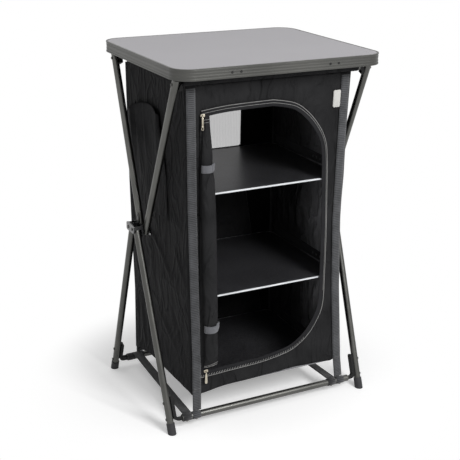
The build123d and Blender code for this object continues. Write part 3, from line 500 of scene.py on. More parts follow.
def beads(name, lines, spacing, size, look, body, tilt=0.0, uneven=0.04, seed=1):
    verts, edges = [], []
    for points in lines:
        base = len(verts)
        verts += [[c * 0.001 for c in p] for p in points]
        edges += [(base + i, base + i + 1) for i in range(len(points) - 1)]
    mesh = bpy.data.meshes.new(name)
    mesh.from_pydata(verts, edges, [])
    piece = placed(name, mesh)
    maker = piece.modifiers.new("beads", "NODES")
    maker.node_group = beadGroup
    values = {"Spacing": spacing * 0.001, "Size": [c * 0.001 for c in size], "Tilt": math.radians(tilt),
              "Uneven": uneven, "Seed": seed, "Material": looks[look]}
    for socket in beadGroup.interface.items_tree:
        if socket.in_out == "INPUT" and socket.name in values:
            maker[socket.identifier] = values[socket.name]
    done = bpy.data.meshes.new_from_object(piece.evaluated_get(bpy.context.evaluated_depsgraph_get()))
    piece.modifiers.clear()
    piece.data = done
    return tagged(piece, body, ())


def foldsDown(*pieces):
    # each piece that belongs to the cabinet's cloth gets its own copy of its mesh
    for piece in pieces:
        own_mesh(piece)


# Camera, floor and light
view = {"f": 1020.747, "size": 460, "yaw": 0.47562894, "pitch": 0.34175918, "roll": 0.01105636,
        "place": (-1282.463, -2448.278, 1455.299)}
ahead = Vector((math.sin(view["yaw"]) * math.cos(view["pitch"]),
                math.cos(view["yaw"]) * math.cos(view["pitch"]), -math.sin(view["pitch"])))
right = Vector((math.cos(view["yaw"]), -math.sin(view["yaw"]), 0))
upward = right.cross(ahead)
tiltedRight = math.cos(view["roll"]) * right + math.sin(view["roll"]) * upward
tiltedUp = -math.sin(view["roll"]) * right + math.cos(view["roll"]) * upward
lens = bpy.data.cameras.new("camera")
lens.sensor_width = 36.0
lens.sensor_fit = "HORIZONTAL"
lens.lens = view["f"] / view["size"] * lens.sensor_width
camera = placed("camera", lens)
turn = Matrix((tiltedRight, tiltedUp, -ahead)).transposed().to_4x4()
camera.matrix_world = Matrix.Translation(Vector(view["place"]) * 0.001) @ turn
scene.camera = camera
scene.view_settings.view_transform = "Standard"


def seesWhite(tree):
    # 1 for the rays that see the plain white background, 0 for those that light the object
    rays = addNode(tree, "ShaderNodeLightPath").node.outputs
    seen = rays["Is Camera Ray"]
    for ray in ("Is Glossy Ray", "Is Transmission Ray"):
        seen = addNode(tree, "ShaderNodeMath", (seen, rays[ray]), operation="MAXIMUM")
    return seen


plainWhite = (1, 1, 1, 1)
studio = {"ambient": 0.34, "white": 1.0, "floor": 0.95, "lift": 0.3, "fade": (0.38, 0.64), "reach": 6.0}
world = bpy.data.worlds.new("studio")
scene.world = world
tree = cleared(world)
strength = addNode(tree, "ShaderNodeMapRange", (seesWhite(tree), 0.0, 1.0, studio["ambient"], studio["white"]))
back = addNode(tree, "ShaderNodeBackground", {"Color": plainWhite, "Strength": strength})
addNode(tree, "ShaderNodeOutputWorld", {"Surface": back})

# near the object the floor takes soft shadows, further out it fades into the white background
floorMaterial = bpy.data.materials.new("paleFloor")
tree = cleared(floorMaterial)
seen = seesWhite(tree)
matt = addNode(tree, "ShaderNodeBsdfDiffuse", {"Color": (studio["floor"],) * 3 + (1,)})
lift = addNode(tree, "ShaderNodeMath", (seen, studio["lift"]), operation="MULTIPLY")
glow = addNode(tree, "ShaderNodeEmission", {"Color": plainWhite, "Strength": lift})
near = addNode(tree, "ShaderNodeAddShader", (matt, glow))
white = addNode(tree, "ShaderNodeEmission", {"Color": plainWhite, "Strength": studio["white"]})
where = addNode(tree, "ShaderNodeTexCoord", output="Object")
radius = addNode(tree, "ShaderNodeVectorMath", (where,), "Value", operation="LENGTH")
away = addNode(tree, "ShaderNodeMapRange", (radius, *studio["fade"]), interpolation_type="SMOOTHSTEP")
share = addNode(tree, "ShaderNodeMath", (away, seen), operation="MULTIPLY")
both = addNode(tree, "ShaderNodeMixShader", (share, near, white))
addNode(tree, "ShaderNodeOutputMaterial", {"Surface": both})
ground = bpy.data.meshes.new("floor")
reach = studio["reach"]
corners = ((-reach, -reach, 0), (reach, -reach, 0), (reach, reach, 0), (-reach, reach, 0))
ground.from_pydata(corners, [], [(0, 1, 2, 3)])
ground.materials.append(floorMaterial)
placed("floor", ground)

lamps = {  # place and aim in metres, side of the square lamp, watts
    "key": ((0.7, -3.0, 2.6), (0, 0, 0.5), 1.3, 98.0),
    "top": ((-0.6, 0.3, 3.1), (0, 0, 0.6), 1.8, 9.0),
}
for name, (place, aim, side, watts) in lamps.items():
    lamp = bpy.data.lights.new(name, "AREA")
    lamp.shape = "SQUARE"
    lamp.size = side
    lamp.energy = watts
    holder = placed(name, lamp)
    holder.location = place
    holder.rotation_euler = (Vector(aim) - Vector(place)).to_track_quat("-Z", "Y").to_euler()
print("stage: camera and light set")


# Rigid pieces keep their CAD shape; * stands for front and for rear
kept = {
    "laminate": "tabletop_board",
    "trim": "tabletop_trim",
    "rail": "support_rails locating_clips",
    "cross": "upper_cross_tube_* lower_cross_tube_*",
    "upperLeg": "upper_leg_*_left upper_leg_*_right",
    "lowerLeg": "lower_leg_*_left lower_leg_*_right",
    "hub": "hub_left hub_right",
    "plastic": "upper_brackets_* lower_brackets_*",
    "rubber": "foot_caps_*",
    "plate": "hub_plates",
    "steel": "loop_screws_*",
    "trimRivet": "trim_rivets",
    "rivet": "pivot_pins upper_rivets_* lower_rivets_*",
}
for look, names in kept.items():
    for name in names.split():
        for end in ("front", "rear") if "*" in name else ("",):
            for place in nodes[name.replace("*", end)].material_slots:
                place.material = looks[look]


# How the cabinet hangs
# CAD draws it square; the cloth of the real one hangs a little to the left and draws in towards its feet.
cabinet = {"half": 240.0, "depth": 201.0, "top": 948.6, "floor": 97.0, "corner": 7.0,
           "frontLeft": [(83, -235), (103, -237), (374, -245), (515, -247), (948, -251)],
           "frontRight": [(96, 222), (240, 219), (374, 224), (515, 220), (662, 227), (800, 228), (948, 234)],
           "backLeft": [(96, -241), (469, -239), (948, -249)],
           "backRight": [(96, 232), (469, 228), (948, 232)]}


def hang(x, y, z):
    share = min(max((y / cabinet["depth"] + 1) / 2, 0), 1)
    low = lerp(along(cabinet["frontLeft"], z), along(cabinet["backLeft"], z), share)
    high = lerp(along(cabinet["frontRight"], z), along(cabinet["backRight"], z), share)
    return lerp(low, high, (x / cabinet["half"] + 1) / 2)


# Folds of each wall: start and end, each along the wall and up, then width and depth, outwards if positive.
foldsOf = {
    "front": [(-150, 893, -118, 944, 6, 2.0), (-62, 897, -18, 944, 7, 2.4), (-20, 897, 12, 944, 6, -1.8),
              (42, 893, 88, 944, 7, 2.6), (92, 866, 150, 930, 7, -2.2), (122, 838, 196, 880, 8, 2.4),
              (150, 790, 200, 812, 8, 1.8), (198, 560, 182, 330, 8, 2.6), (186, 470, 196, 250, 6, -2.0),
              (178, 300, 200, 150, 8, 2.4), (60, 150, 48, 104, 8, 1.8), (-40, 142, -52, 104, 9, 1.6),
              (130, 190, 168, 112, 9, 2.4), (-130, 140, -150, 100, 9, 1.8), (-222, 470, -208, 250, 7, 2.0),
              (-205, 940, -150, 905, 10, -2.0)],
    "left": [(89, 502, -22, 438, 9, 3.4), (-22, 438, -95, 384, 10, 3.0), (191, 369, 101, 283, 10, 3.0),
             (101, 283, 60, 190, 10, 3.2), (22, 265, -95, 190, 9, 3.0), (-108, 487, -186, 406, 8, 3.0),
             (-150, 380, -190, 300, 7, 2.6), (60, 470, 20, 330, 9, -3.0), (-60, 330, -150, 210, 10, -2.8),
             (150, 250, 120, 130, 9, 2.4), (-120, 700, -190, 660, 9, 2.2), (-100, 600, -170, 560, 12, -2.0),
             (120, 620, 60, 560, 12, -2.4), (-60, 920, -150, 860, 12, -2.0), (-20, 180, -60, 110, 9, 2.6)],
    "right": [(-150, 860, -120, 700, 9, 4.4), (-95, 880, -60, 705, 10, -4.0), (-30, 850, -10, 700, 9, 3.6),
              (30, 880, 70, 710, 12, -3.4), (110, 860, 130, 700, 10, 3.2), (-165, 640, -140, 420, 8, 4.2),
              (-120, 620, -70, 410, 9, -4.4), (-60, 640, -90, 430, 8, 4.0), (0, 630, 40, 420, 10, -3.4),
              (90, 600, 60, 430, 10, 3.2), (140, 630, 160, 430, 9, -3.0), (-160, 350, -120, 200, 8, 4.0),
              (-110, 345, -60, 190, 9, -3.6), (-20, 350, -50, 180, 9, 3.6), (60, 340, 90, 200, 10, -3.0),
              (120, 350, 140, 190, 9, 3.0), (-180, 250, -70, 150, 9, 3.0)],
    "back": [(-150, 600, -90, 430, 12, 3.0), (-30, 640, 10, 420, 12, -3.0), (90, 610, 60, 430, 10, 2.8),
             (150, 340, 120, 170, 12, 3.0), (-60, 340, -110, 160, 12, -3.0), (20, 330, 60, 150, 10, 2.6),
             (-180, 840, -160, 700, 10, 2.0), (178, 860, 160, 700, 10, -2.0)],
}
bandLevels = (97.0, 371.0, 659.0, 948.0)  # where boards and the hem hold the cloth
bottomEdge = {"front": [(-240, 88), (-201, 91), (-138, 98), (-10, 101), (107, 105), (180, 103), (240, 98)],
              "left": [(-201, 86), (-185, 89), (100, 88), (164, 74), (201, 62)],
              "right": [(-201, 96), (-150, 98), (100, 96), (201, 84)],
              "back": [(-240, 76), (-180, 92), (180, 94), (240, 84)]}


# How far inwards the cloth may come, by height: least beside each board and the band above it.
shelfRoom = [(98, 1.0), (134, 1.0), (160, 10), (292, 10), (318, 3.2), (368, 3.2), (371, 1.0), (402, 1.0),
             (406, 3.2), (434, 3.2), (460, 10), (548, 10), (574, 3.2), (655, 3.2), (659, 1.0), (692, 1.0),
             (710, 10), (948, 10)]
wallSize = {  # half its width, sag, sharpness and depth of the folds, random draw, share of the room inwards
    "front": {"edge": cabinet["half"], "sag": -1.5, "sharp": 0.85, "deep": 1.5, "seed": 0, "room": 0.4},
    "left": {"edge": cabinet["depth"], "sag": -4.0, "sharp": 0.7, "deep": 1.25, "seed": 7, "room": 1.0},
    "right": {"edge": cabinet["depth"], "sag": -4.0, "sharp": 0.8, "deep": 1.5, "seed": 13, "room": 1.0},
    "back": {"edge": cabinet["half"], "sag": -3.0, "sharp": 1.0, "deep": 1.2, "seed": 23, "room": 1.0},
}


def foldHeight(wall, h, z):
    # outwards shift of the cloth at a point of a wall
    own = wallSize[wall]
    shift = 0.0
    for h0, z0, h1, z1, width, depth in foldsOf[wall]:
        dh, dz = h1 - h0, z1 - z0
        long = dh * dh + dz * dz
        t = ((h - h0) * dh + (z - z0) * dz) / long
        if -0.15 < t < 1.15:
            away = ((h - h0) * dz - (z - z0) * dh) / math.sqrt(long)
            wide = width * own["sharp"] * (1 + 0.5 * t)
            if abs(away) < 3 * wide:
                fade = math.sin(math.pi * min(max((t + 0.15) / 1.3, 0), 1)) ** 0.8
                shift += depth * own["deep"] * fade * math.exp(-(away / wide) ** 2)
    shift += 1.5 * noise.noise(Vector((h * 0.014 + own["seed"], z * 0.010, 0.3)))
    shift += 0.7 * noise.noise(Vector((h * 0.04 + own["seed"], z * 0.028, 1.7)))
    return shift


def heldShare(wall, h, z):
    # 0 where seams, boards and the hem hold the cloth flat, 1 well away from them
    share = smooth(wallSize[wall]["edge"] - abs(h), 4, 34)
    for level in bandLevels[1:]:
        share *= 0.25 + 0.75 * smooth(abs(z - level), 6, 34)
    return share


def wallPoint(wall, h, z):
    # a point of the cabinet's cloth, h along the wall in CAD millimetres
    own, half, depth = wallSize[wall], cabinet["half"], cabinet["depth"]
    gaps = [(a, b) for a, b in zip(bandLevels, bandLevels[1:]) if a <= z <= b]
    belly = math.sin(math.pi * (z - gaps[0][0]) / (gaps[0][1] - gaps[0][0])) if gaps else 0.0
    out = own["sag"] * belly * (1 - (h / own["edge"]) ** 2)
    out += foldHeight(wall, h, z) * heldShare(wall, h, z)
    out = max(out, -along(shelfRoom, z) * own["room"])
    if wall == "front":
        return Vector((hang(h, -depth, z), -depth - out, z))
    if wall == "back":
        return Vector((hang(h, depth, z), depth + out, z))
    if wall == "left":
        return Vector((hang(-half, h, z) - out, h, z))
    return Vector((hang(half, h, z) + out, h, z))


# Doorway line
# Outer line of the zip on the front panel, as (x, z) from the lower left, up the right side, to the upper left.
doorLine = [(-211, 142), (-176, 143.2), (-126, 145), (-78, 146.5), (-20, 149), (44.7, 158.4), (85.9, 172.1),
            (127, 203.4), (157, 247.4), (172.2, 293.8), (174, 386), (173.4, 505), (170, 620), (165.7, 726),
            (157.4, 773), (135.5, 813.5), (102.3, 851.3), (62.6, 878.7), (5, 892.4), (-29, 893.6),
            (-117.5, 892), (-165, 889), (-211, 883.5)]
doorPath = smoothLine([(x, -203.0, z) for x, z in doorLine], 6.0)


def inward(path, distance):
    # the same line, moved in towards the doorway's middle
    moved = []
    for p, t in zip(path, tangents(path)):
        side = Vector((t.z, 0, -t.x))  # the path runs with the doorway on its left, seen from the front
        moved.append(p - side * (distance(p) if callable(distance) else distance))
    return moved


def insideLine(x, z, line):
    inside = False
    for (x0, z0), (x1, z1) in zip(line, line[1:] + line[:1]):
        if (z0 > z) != (z1 > z) and x < (x1 - x0) * (z - z0) / (z1 - z0) + x0:
            inside = not inside
    return inside


def snapTo(point, line):
    best, gap = None, 1e9
    for (x0, z0), (x1, z1) in zip(line, line[1:] + line[:1]):
        dx, dz = x1 - x0, z1 - z0
        t = min(max(((point[0] - x0) * dx + (point[1] - z0) * dz) / (dx * dx + dz * dz + 1e-9), 0), 1)
        near = (x0 + dx * t, z0 + dz * t)
        d = (near[0] - point[0]) ** 2 + (near[1] - point[1]) ** 2
        if d < gap:
            best, gap = near, d
    return best


openingBand = 12.0
opening = [(p.x, p.z) for p in inward(doorPath, openingBand)]
window = {"half": 120.0, "low": 663.5, "high": 904.8, "corner": 5.0}


def windowLine(inset=0.0):
    half, low, high, corner = (window[key] for key in ("half", "low", "high", "corner"))
    return roundedOutline(inset - half, half - inset, low + inset, high - inset, corner, corner, 4)


def windowShift(z):
    return hang(0, cabinet["depth"], z)


# The cabinet as one sheet
shellSize = {"cell": 6.2, "rows": 142, "rings": 7, "thick": 1.2, "middle": -8.0}
# the seam down the back as (height, X); right of it the inside is drawn near black as painted shade
backSeam = [(98, 196), (383, 155), (516, 134), (655, 116), (665, 121), (948, 121)]


def shellColumns():
    # (wall, position along it) round the cabinet; the last column of each wall rounds the corner
    columns, r = [], cabinet["corner"]
    for wall, sign in (("front", 1), ("right", 1), ("back", -1), ("left", -1)):
        edge = wallSize[wall]["edge"]
        count = round(2 * (edge - r) / shellSize["cell"])
        for k in range(count + 1):
            columns.append((wall, sign * (-(edge - r) + 2 * (edge - r) * k / count)))
        columns.append((wall, sign * (edge - r * 0.3)))
    return columns


def shellWalls(columns):
    verts, r = [], cabinet["corner"]
    for row in range(shellSize["rows"] + 1):
        for wall, h in columns:
            low = along(bottomEdge[wall], h)
            z = low + (cabinet["top"] - low) * row / shellSize["rows"]
            p = wallPoint(wall, h, z)
            if abs(h) > wallSize[wall]["edge"] - r:
                if wall in ("left", "right"):
                    p.x -= math.copysign(r * 0.3, p.x)
                else:
                    p.y -= math.copysign(r * 0.3, p.y)
            if row == 0:  # the bottom edge curls under
                p.y *= 0.975
                p.x *= 0.98
            verts.append(p)
    return verts


def onWall(wall, point):
    # where a point lies on the front, or on the back as seen from the middle of its window
    return point.x - (windowShift(point.z) if wall == "back" else 0), point.z


def shellRings(verts, start, count, level, turned):
    # roof or floor: rings of points from the edge of the walls to the middle
    faces, last, rings = [], start, shellSize["rings"]
    centre = Vector((shellSize["middle"], 0, level))
    for ring in range(1, rings + 1):
        base, share = len(verts), ring / rings
        for k in range(count):
            p = verts[start + k].lerp(centre, share * 0.98)
            p.z = lerp(verts[start + k].z, level, smooth(share, 0, 0.4))
            verts.append(p)
        for k in range(count):
            m = (k + 1) % count
            faces.append([last + k, last + m, base + m, base + k])
        last = base
    faces.append([last + k for k in range(count)])
    return [f[::-1] for f in faces] if turned else faces


def makeShell():
    columns, rows = shellColumns(), shellSize["rows"]
    verts, faces, linings, n = shellWalls(columns), [], [], len(columns)
    openings = {"front": opening, "back": windowLine()}
    cut = set()
    for row in range(rows):
        for k, (wall, h) in enumerate(columns):
            m = (k + 1) % n
            quad = [row * n + k, row * n + m, (row + 1) * n + m, (row + 1) * n + k]
            if wall in openings and columns[m][0] == wall:
                mid = sum((verts[i] for i in quad), Vector()) / 4
                if insideLine(*onWall(wall, mid), openings[wall]):
                    cut.update((wall, i) for i in quad)
                    continue
            faces.append(quad)
            centre = (verts[quad[0]] + verts[quad[2]]) / 2
            # painted shade: the back's inside right of the seam is drawn near black
            shadedRightOfSeam = wall == "back" and centre.x > along(backSeam, centre.z)
            linings.append(1 if wall in ("left", "right") else 2 * shadedRightOfSeam)
    used = {i for f in faces for i in f}
    for wall, i in cut:  # the cloth ends on the line of its opening
        if i in used:
            x, z = snapTo(onWall(wall, verts[i]), openings[wall])
            verts[i].x, verts[i].z = x + (windowShift(z) if wall == "back" else 0), z
    faces += shellRings(verts, rows * n, n, cabinet["top"], False)
    faces += shellRings(verts, 0, n, cabinet["floor"], True)
    keep = sorted({i for f in faces for i in f})
    renumber = {old: new for new, old in enumerate(keep)}
    return ([verts[i] for i in keep], [[renumber[i] for i in f] for f in faces]), linings


shape, linings = makeShell()
shell = newMesh("cabinetShell", shape, "shell", "root",
                ("front_panel", "back_panel", "side_panel_left", "side_panel_right", "roof_panel",
                 "floor_panel"))
for look in ("shell", "shell", "shell", "lining", "paintedShadeCloth"):
    shell.data.materials.append(looks[look])
for quad, lining in zip(shell.data.polygons, linings):
    quad.material_index = lining
# outside, slots 0 to 2 all show the shell; inside, three further on, they show shell, the lining with painted
# light and shade, and near-black painted shade
thicken(shell, shellSize["thick"]).material_offset = 3
foldsDown(shell)
print("stage: cabinet shell made", len(shape[0]))

# Seam down the inside of the back, up to the shelf over it
seamLine = [Vector((along(backSeam, z), cabinet["depth"] - 3.2, z)) for z in range(108, 656, 12)]
seam = newMesh("backSeam", cord(seamLine, 1.1, 6), "band", "root")
foldsDown(seam)


# Mesh window
def makeWindow(parts=30, grow=5.0):
    line = windowLine(-grow)
    verts = []
    for row in range(parts + 1):
        for k in range(parts + 1):
            x = -window["half"] - grow + 2 * (window["half"] + grow) * k / parts
            z = window["low"] - grow + (window["high"] - window["low"] + 2 * grow) * row / parts
            ripple = 1.2 * noise.noise(Vector((x * 0.02, z * 0.015, 5.0)))
            if not insideLine(x, z, line):
                x, z = snapTo((x, z), line)
            verts.append((x + windowShift(z), cabinet["depth"] + 0.6 + ripple, z))
    return verts, sheetFaces(parts, parts, turned=True)


meshPanel = newMesh("meshPanel", makeWindow(), "mesh", "root", ("mesh_window",))
foldsDown(meshPanel)


# Boards with their pale edging
boards = {  # height of the top face, body, CAD nodes of the board and of its edging, height of the front edging
    "upperShelf": (661.8, "upper_shelf_body", ("upper_shelf",), ("upper_shelf_edge",), 4.8),
    "lowerShelf": (374.0, "lower_shelf_body", ("lower_shelf",), ("lower_shelf_edge",), 4.8),
    "floorBoard": (104.5, "root", ("floor_board",), (), 0.0),
}
boardSize = {"thick": 5.0, "gap": 5.6, "front": -195.8, "back": 195.0, "lip": 1.5, "bevel": 0.3,
             "corner": 24.0, "frontCorner": 8.0, "frontEdging": 9.0}


def boardMesh(left, right, low, high):
    # flat, with round corners and a small bevel
    lip, bevel = boardSize["lip"], boardSize["bevel"]
    outline = roundedOutline(left + lip, right - lip, boardSize["front"] + lip, boardSize["back"] - lip,
                             boardSize["frontCorner"], boardSize["corner"])
    midX, midY = (left + right) / 2, (boardSize["front"] + boardSize["back"]) / 2
    verts = []
    for z, inset in ((low, bevel), (low + bevel, 0), (high - bevel, 0), (high, bevel)):
        for x, y in outline:
            verts.append((x - math.copysign(inset, x - midX), y - math.copysign(inset, y - midY), z))
    n = len(outline)
    return verts, bandFaces(4, n) + [list(range(n))[::-1], [3 * n + k for k in range(n)]]


def edgingRing(left, right, low, high):
    # a thin band round a board, with a lip over its top face
    outline = [Vector((*p, 0)) for p in roundedOutline(left, right, boardSize["front"], boardSize["back"],
                                                       boardSize["frontEdging"], boardSize["corner"])]
    n, lip = len(outline), boardSize["lip"]
    section = ((lip, low), (0.3, low), (0.0, low + 0.5), (0.0, high - 0.5), (0.3, high + 0.3),
               (lip, high + 0.3), (lip, high - 1.0), (lip, low + 1.0))
    verts = []
    for i, p in enumerate(outline):
        t = (outline[(i + 1) % n] - outline[i - 1]).normalized()
        inner = Vector((-t.y, t.x, 0))
        verts += [tuple(p + inner * inset + Vector((0, 0, z))) for inset, z in section]
    return verts, [[a, d, c, b] for a, b, c, d in bandFaces(n, len(section), closed=True)]


def frontEdging(left, right, high, tall):
    # round-nosed profile along a shelf's front edge
    low, front = high - tall, boardSize["front"] - 0.4
    nose = [(0.0, high), (-1.6, high - 0.5), (-2.6, high - tall * 0.32), (-2.6, low + tall * 0.32),
            (-1.6, low + 0.5), (0.0, low), (2.0, low), (2.0, high)]
    path = [Vector((x, front, 0)) for x in (left, left + 1.5, right - 1.5, right)]
    ends = (0.7, 1.0, 1.0, 0.7)
    mid = (high + low) / 2
    return sweep(path, [(Vector((0, 1, 0)), Vector((0, 0, 1)))] * 4,
                 lambda i: [(a * ends[i], mid + (b - mid) * ends[i]) for a, b in nose])


def fitted(shape, high):
    # a board made square is drawn in to the cabinet's width at each depth
    half, verts = cabinet["half"], []
    for x, y, z in shape[0]:
        verts.append((lerp(hang(-half, y, high), hang(half, y, high), (x + half) / (2 * half)), y, z))
    return verts, shape[1]


for name, (high, body, boardNodes, edgeNodes, tall) in boards.items():
    left, right = boardSize["gap"] - cabinet["half"], cabinet["half"] - boardSize["gap"]
    low = high - boardSize["thick"]
    newMesh(name, fitted(boardMesh(left, right, low, high), high), "board", body, boardNodes,
            smoothed=False)
    newMesh(name + "Rim", fitted(edgingRing(left, right, low, high), high), "rim", body)
    if tall:
        nose = fitted(frontEdging(left + 1, right - 1, high + 0.5, tall), high)
        newMesh(name + "Edging", nose, "edging", body, edgeNodes)
print("stage: boards made")


# Smooth bands of cloth above each board inside, with rivets towards the front over the shelves
bandSize = {"tall": 27.0, "above": 2.5, "thick": 1.0, "front": -192.0, "back": 190.0, "inside": 3.2,
            "rivets": ((-77, -58, -39), (-100, -81, -62)), "apart": 18.9, "up": 15.0, "proud": 0.6}


def makeBand(side, high):
    path = []
    level, wall = high + bandSize["above"] + bandSize["tall"] / 2, side * cabinet["half"]
    for i in range(31):
        y = lerp(bandSize["front"], bandSize["back"], i / 30)
        wave = 0.5 * noise.noise(Vector((y * 0.02, high, side)))
        path.append(Vector((hang(wall, y, level) - side * (bandSize["inside"] + wave), y, level)))
    frames = [(Vector((0, 0, 1)), Vector((-side, 0, 0)))] * len(path)
    return sweep(path, frames, flatSection(bandSize["tall"], bandSize["thick"], 6, 0.6))


boardLevels = [spec[0] for spec in boards.values()]
bands = joined([makeBand(side, high) for high in boardLevels for side in (-1, 1)])
band = newMesh("shelfBands", bands, "band", "root")
inwards = bandSize["inside"] + bandSize["proud"]
rivetRows = [[(hang(cabinet["half"], y, high) - inwards, y, high + bandSize["up"]) for y in ys]
             for high, ys in zip(boardLevels, bandSize["rivets"])]
bandRivets = beads("bandRivets", rivetRows, bandSize["apart"], (2.2, 6.6, 8.4), "bandRivet", "root",
                   seed=2)
foldsDown(band, bandRivets)
print("stage: inner bands made")


# Hem sleeves round the upper cross tubes
sleeve = {"half": 252.0, "radius": 10.6, "thick": 0.5, "middle": 959.9, "y": 204.0, "steps": 64, "sides": 20}


def makeSleeve(side):
    path, shapes = [], []
    for i in range(sleeve["steps"] + 1):
        x = -sleeve["half"] + 2 * sleeve["half"] * i / sleeve["steps"]
        inner = x * cabinet["half"] / sleeve["half"]
        lean = hang(inner, side * cabinet["depth"], bandLevels[-1]) + (x - inner)
        path.append(Vector((lean, side * sleeve["y"], sleeve["middle"])))
        ends = 1 - smooth(sleeve["half"] - abs(x), 0, 40)
        ripple = 0.25 * noise.noise(Vector((x * 0.05, side, 2.0)))
        ring = []
        for k in range(sleeve["sides"]):
            a = math.tau * k / sleeve["sides"]
            r = sleeve["radius"] + ripple + 0.15 * math.sin(3 * a + x * 0.06)
            ring.append((r * math.cos(a), r * math.sin(a) * (1 + 0.02 * ends)))
        shapes.append(ring)
    frames = [(Vector((0, 1, 0)), Vector((0, 0, 1)))] * len(path)
    return sweep(path, frames, lambda i: shapes[i], capped=False)[:2]


for side, name in ((-1, "front"), (1, "rear")):
    piece = newMesh("hemSleeve" + name.capitalize(), makeSleeve(side), "shell", "upper_" + name,
                    ("hem_sleeve_" + name,))
    thicken(piece, sleeve["thick"])


# Zip tape with its coil and pale piping
zipSize = {"width": 17.0, "thick": 0.8, "y": -203.2, "secondFrom": 330, "coilBelow": 196, "coilLeftOf": 118,
           "apart": [(240, 3.4), (700, 3.4), (850, 5.6), (885, 8.0)]}  # of the two lines, by height


def zipLine(distance, out=0.0):
    # the doorway line moved inwards and out of the cloth
    return [Vector((p.x, zipSize["y"] - out, p.z)) for p in inward(doorPath, distance)]


middle = zipLine(zipSize["width"] / 2 - 1)
strip = sweep(middle, framesBy(middle, (0, -1, 0)), flatSection(zipSize["width"] + 2, zipSize["thick"], 6))
tape = newMesh("zipTape", strip, "zipTape", "root", ("zip_tape",))
second = [p for p in zipLine(lambda p: along(zipSize["apart"], p.z), 0.7) if p.z > zipSize["secondFrom"]]
lines = joined([cord(zipLine(0.5, 0.9), 0.75), cord(second, 0.5)])
piping = newMesh("zipPiping", lines, "piping", "root")
coilLine = [p for p in zipLine(4.4, 1.1) if p.z < zipSize["coilBelow"] and p.x < zipSize["coilLeftOf"]]
coil = beads("zipCoil", [coilLine], 8.0, (8.6, 1.5, 1.5), "piping", "root", tilt=-48, uneven=0.08,
             seed=4)
foldsDown(tape, piping, coil)
print("stage: zip made")


# Rolled door: the cloth winds in a spiral, drawn in at its top and at its two ties
rollSize = {"profile": [(172, 18.8, -184.9), (182, 19.8, -185.0), (200, 20.3, -185.1), (340, 20.4, -187.8),
                        (465, 20.8, -191.2), (610, 20.4, -193.9), (704, 19.2, -196.2), (745, 16.6, -197.4),
                        (791, 14.0, -196.4), (840, 10.8, -197.0), (867, 8.2, -196.4), (874, 7.4, -196.0)],
            "deep": [(172, 0.22), (188, 0.4), (208, 0.66), (340, 0.7), (465, 0.7), (704, 0.6), (760, 0.5),
                     (810, 0.33), (840, 0.22), (874, 0.2)],
            "back": -204.6, "turns": 4.4, "core": 0.24, "thick": 0.7, "steps": 84, "sides": 118,
            "leaves": 128, "sewn": ((-212.5, -204.3), (-213.5, -203.6)),  # degrees; (X, Y) on the front panel
            "drawn": (735, 293), "share": 0.09, "over": 22,  # by the ties
            "edges": ((178, 1.0, 2.0, 0.6), (184, 1.0, 3.4, 0.5), (854, 0.8, 1.0, 0.45), (861, 0.8, 0.5, 0.45))}
rollWidths = [(z, r) for z, r, x in rollSize["profile"]]
rollMiddles = [(z, x) for z, r, x in rollSize["profile"]]


def makeRoll():
    steps, sides = rollSize["steps"], rollSize["sides"]
    low, high = rollWidths[0][0], rollWidths[-1][0]
    last = rollSize["turns"] * math.tau
    verts = []
    for i in range(steps + 1):
        z = lerp(low, high, i / steps)
        r = along(rollWidths, z)
        for level in rollSize["drawn"]:
            r *= 1 - rollSize["share"] * math.exp(-((z - level) / rollSize["over"]) ** 2)
        deep = r * along(rollSize["deep"], z)
        cx, cy = along(rollMiddles, z), rollSize["back"] - deep
        for k in range(sides + 1):
            a = last * k / sides
            share = rollSize["core"] + (1 - rollSize["core"]) * k / sides
            broad = noise.noise(Vector((math.cos(a) * 1.5, math.sin(a) * 1.5, z * 0.02 + a * 0.3)))
            upright = noise.noise(Vector((math.cos(a + z * 0.004) * 3, z * 0.006, 4.0)))
            share *= 1 + 0.02 * broad + 0.035 * upright
            turn = a - last + math.radians(rollSize["leaves"])  # the last turn leaves behind, on the left
            y = cy + min(deep * share * math.cos(turn) * -1, deep * 0.98)
            verts.append((cx - r * share * math.sin(turn), y, z))
        near, end = rollSize["sewn"]
        verts += [(lerp(verts[-1][0], near[0], 0.55), near[1], z), (*end, z)]
    return verts, sheetFaces(steps, sides + 2)


def rollRing(level, grow, slant, radius):
    # a pale line of the zip's edge that shows round the roll's end
    r = along(rollWidths, level) + grow
    deep = r * along(rollSize["deep"], level)
    points = []
    for k in range(15):
        a = math.radians(170 - 11 * k)
        points.append(Vector((along(rollMiddles, level) + r * math.cos(a),
                              rollSize["back"] - deep - deep * math.sin(a), level + slant * math.cos(a))))
    return cord(points, radius, 6, (0, 0, 1))


roll = newMesh("doorRoll", makeRoll(), "shell", "root", ("door_roll",))
thicken(roll, rollSize["thick"], 0.0)
rings = joined([rollRing(*edge) for edge in rollSize["edges"]])
rollEdge = newMesh("rollZipEdge", rings, "piping", "root")


# Ties
tieSize = {"tall": 20.5, "thick": 1.2, "levels": ((736.0, 2.0), (292.5, 6.0))}  # and how far each rises


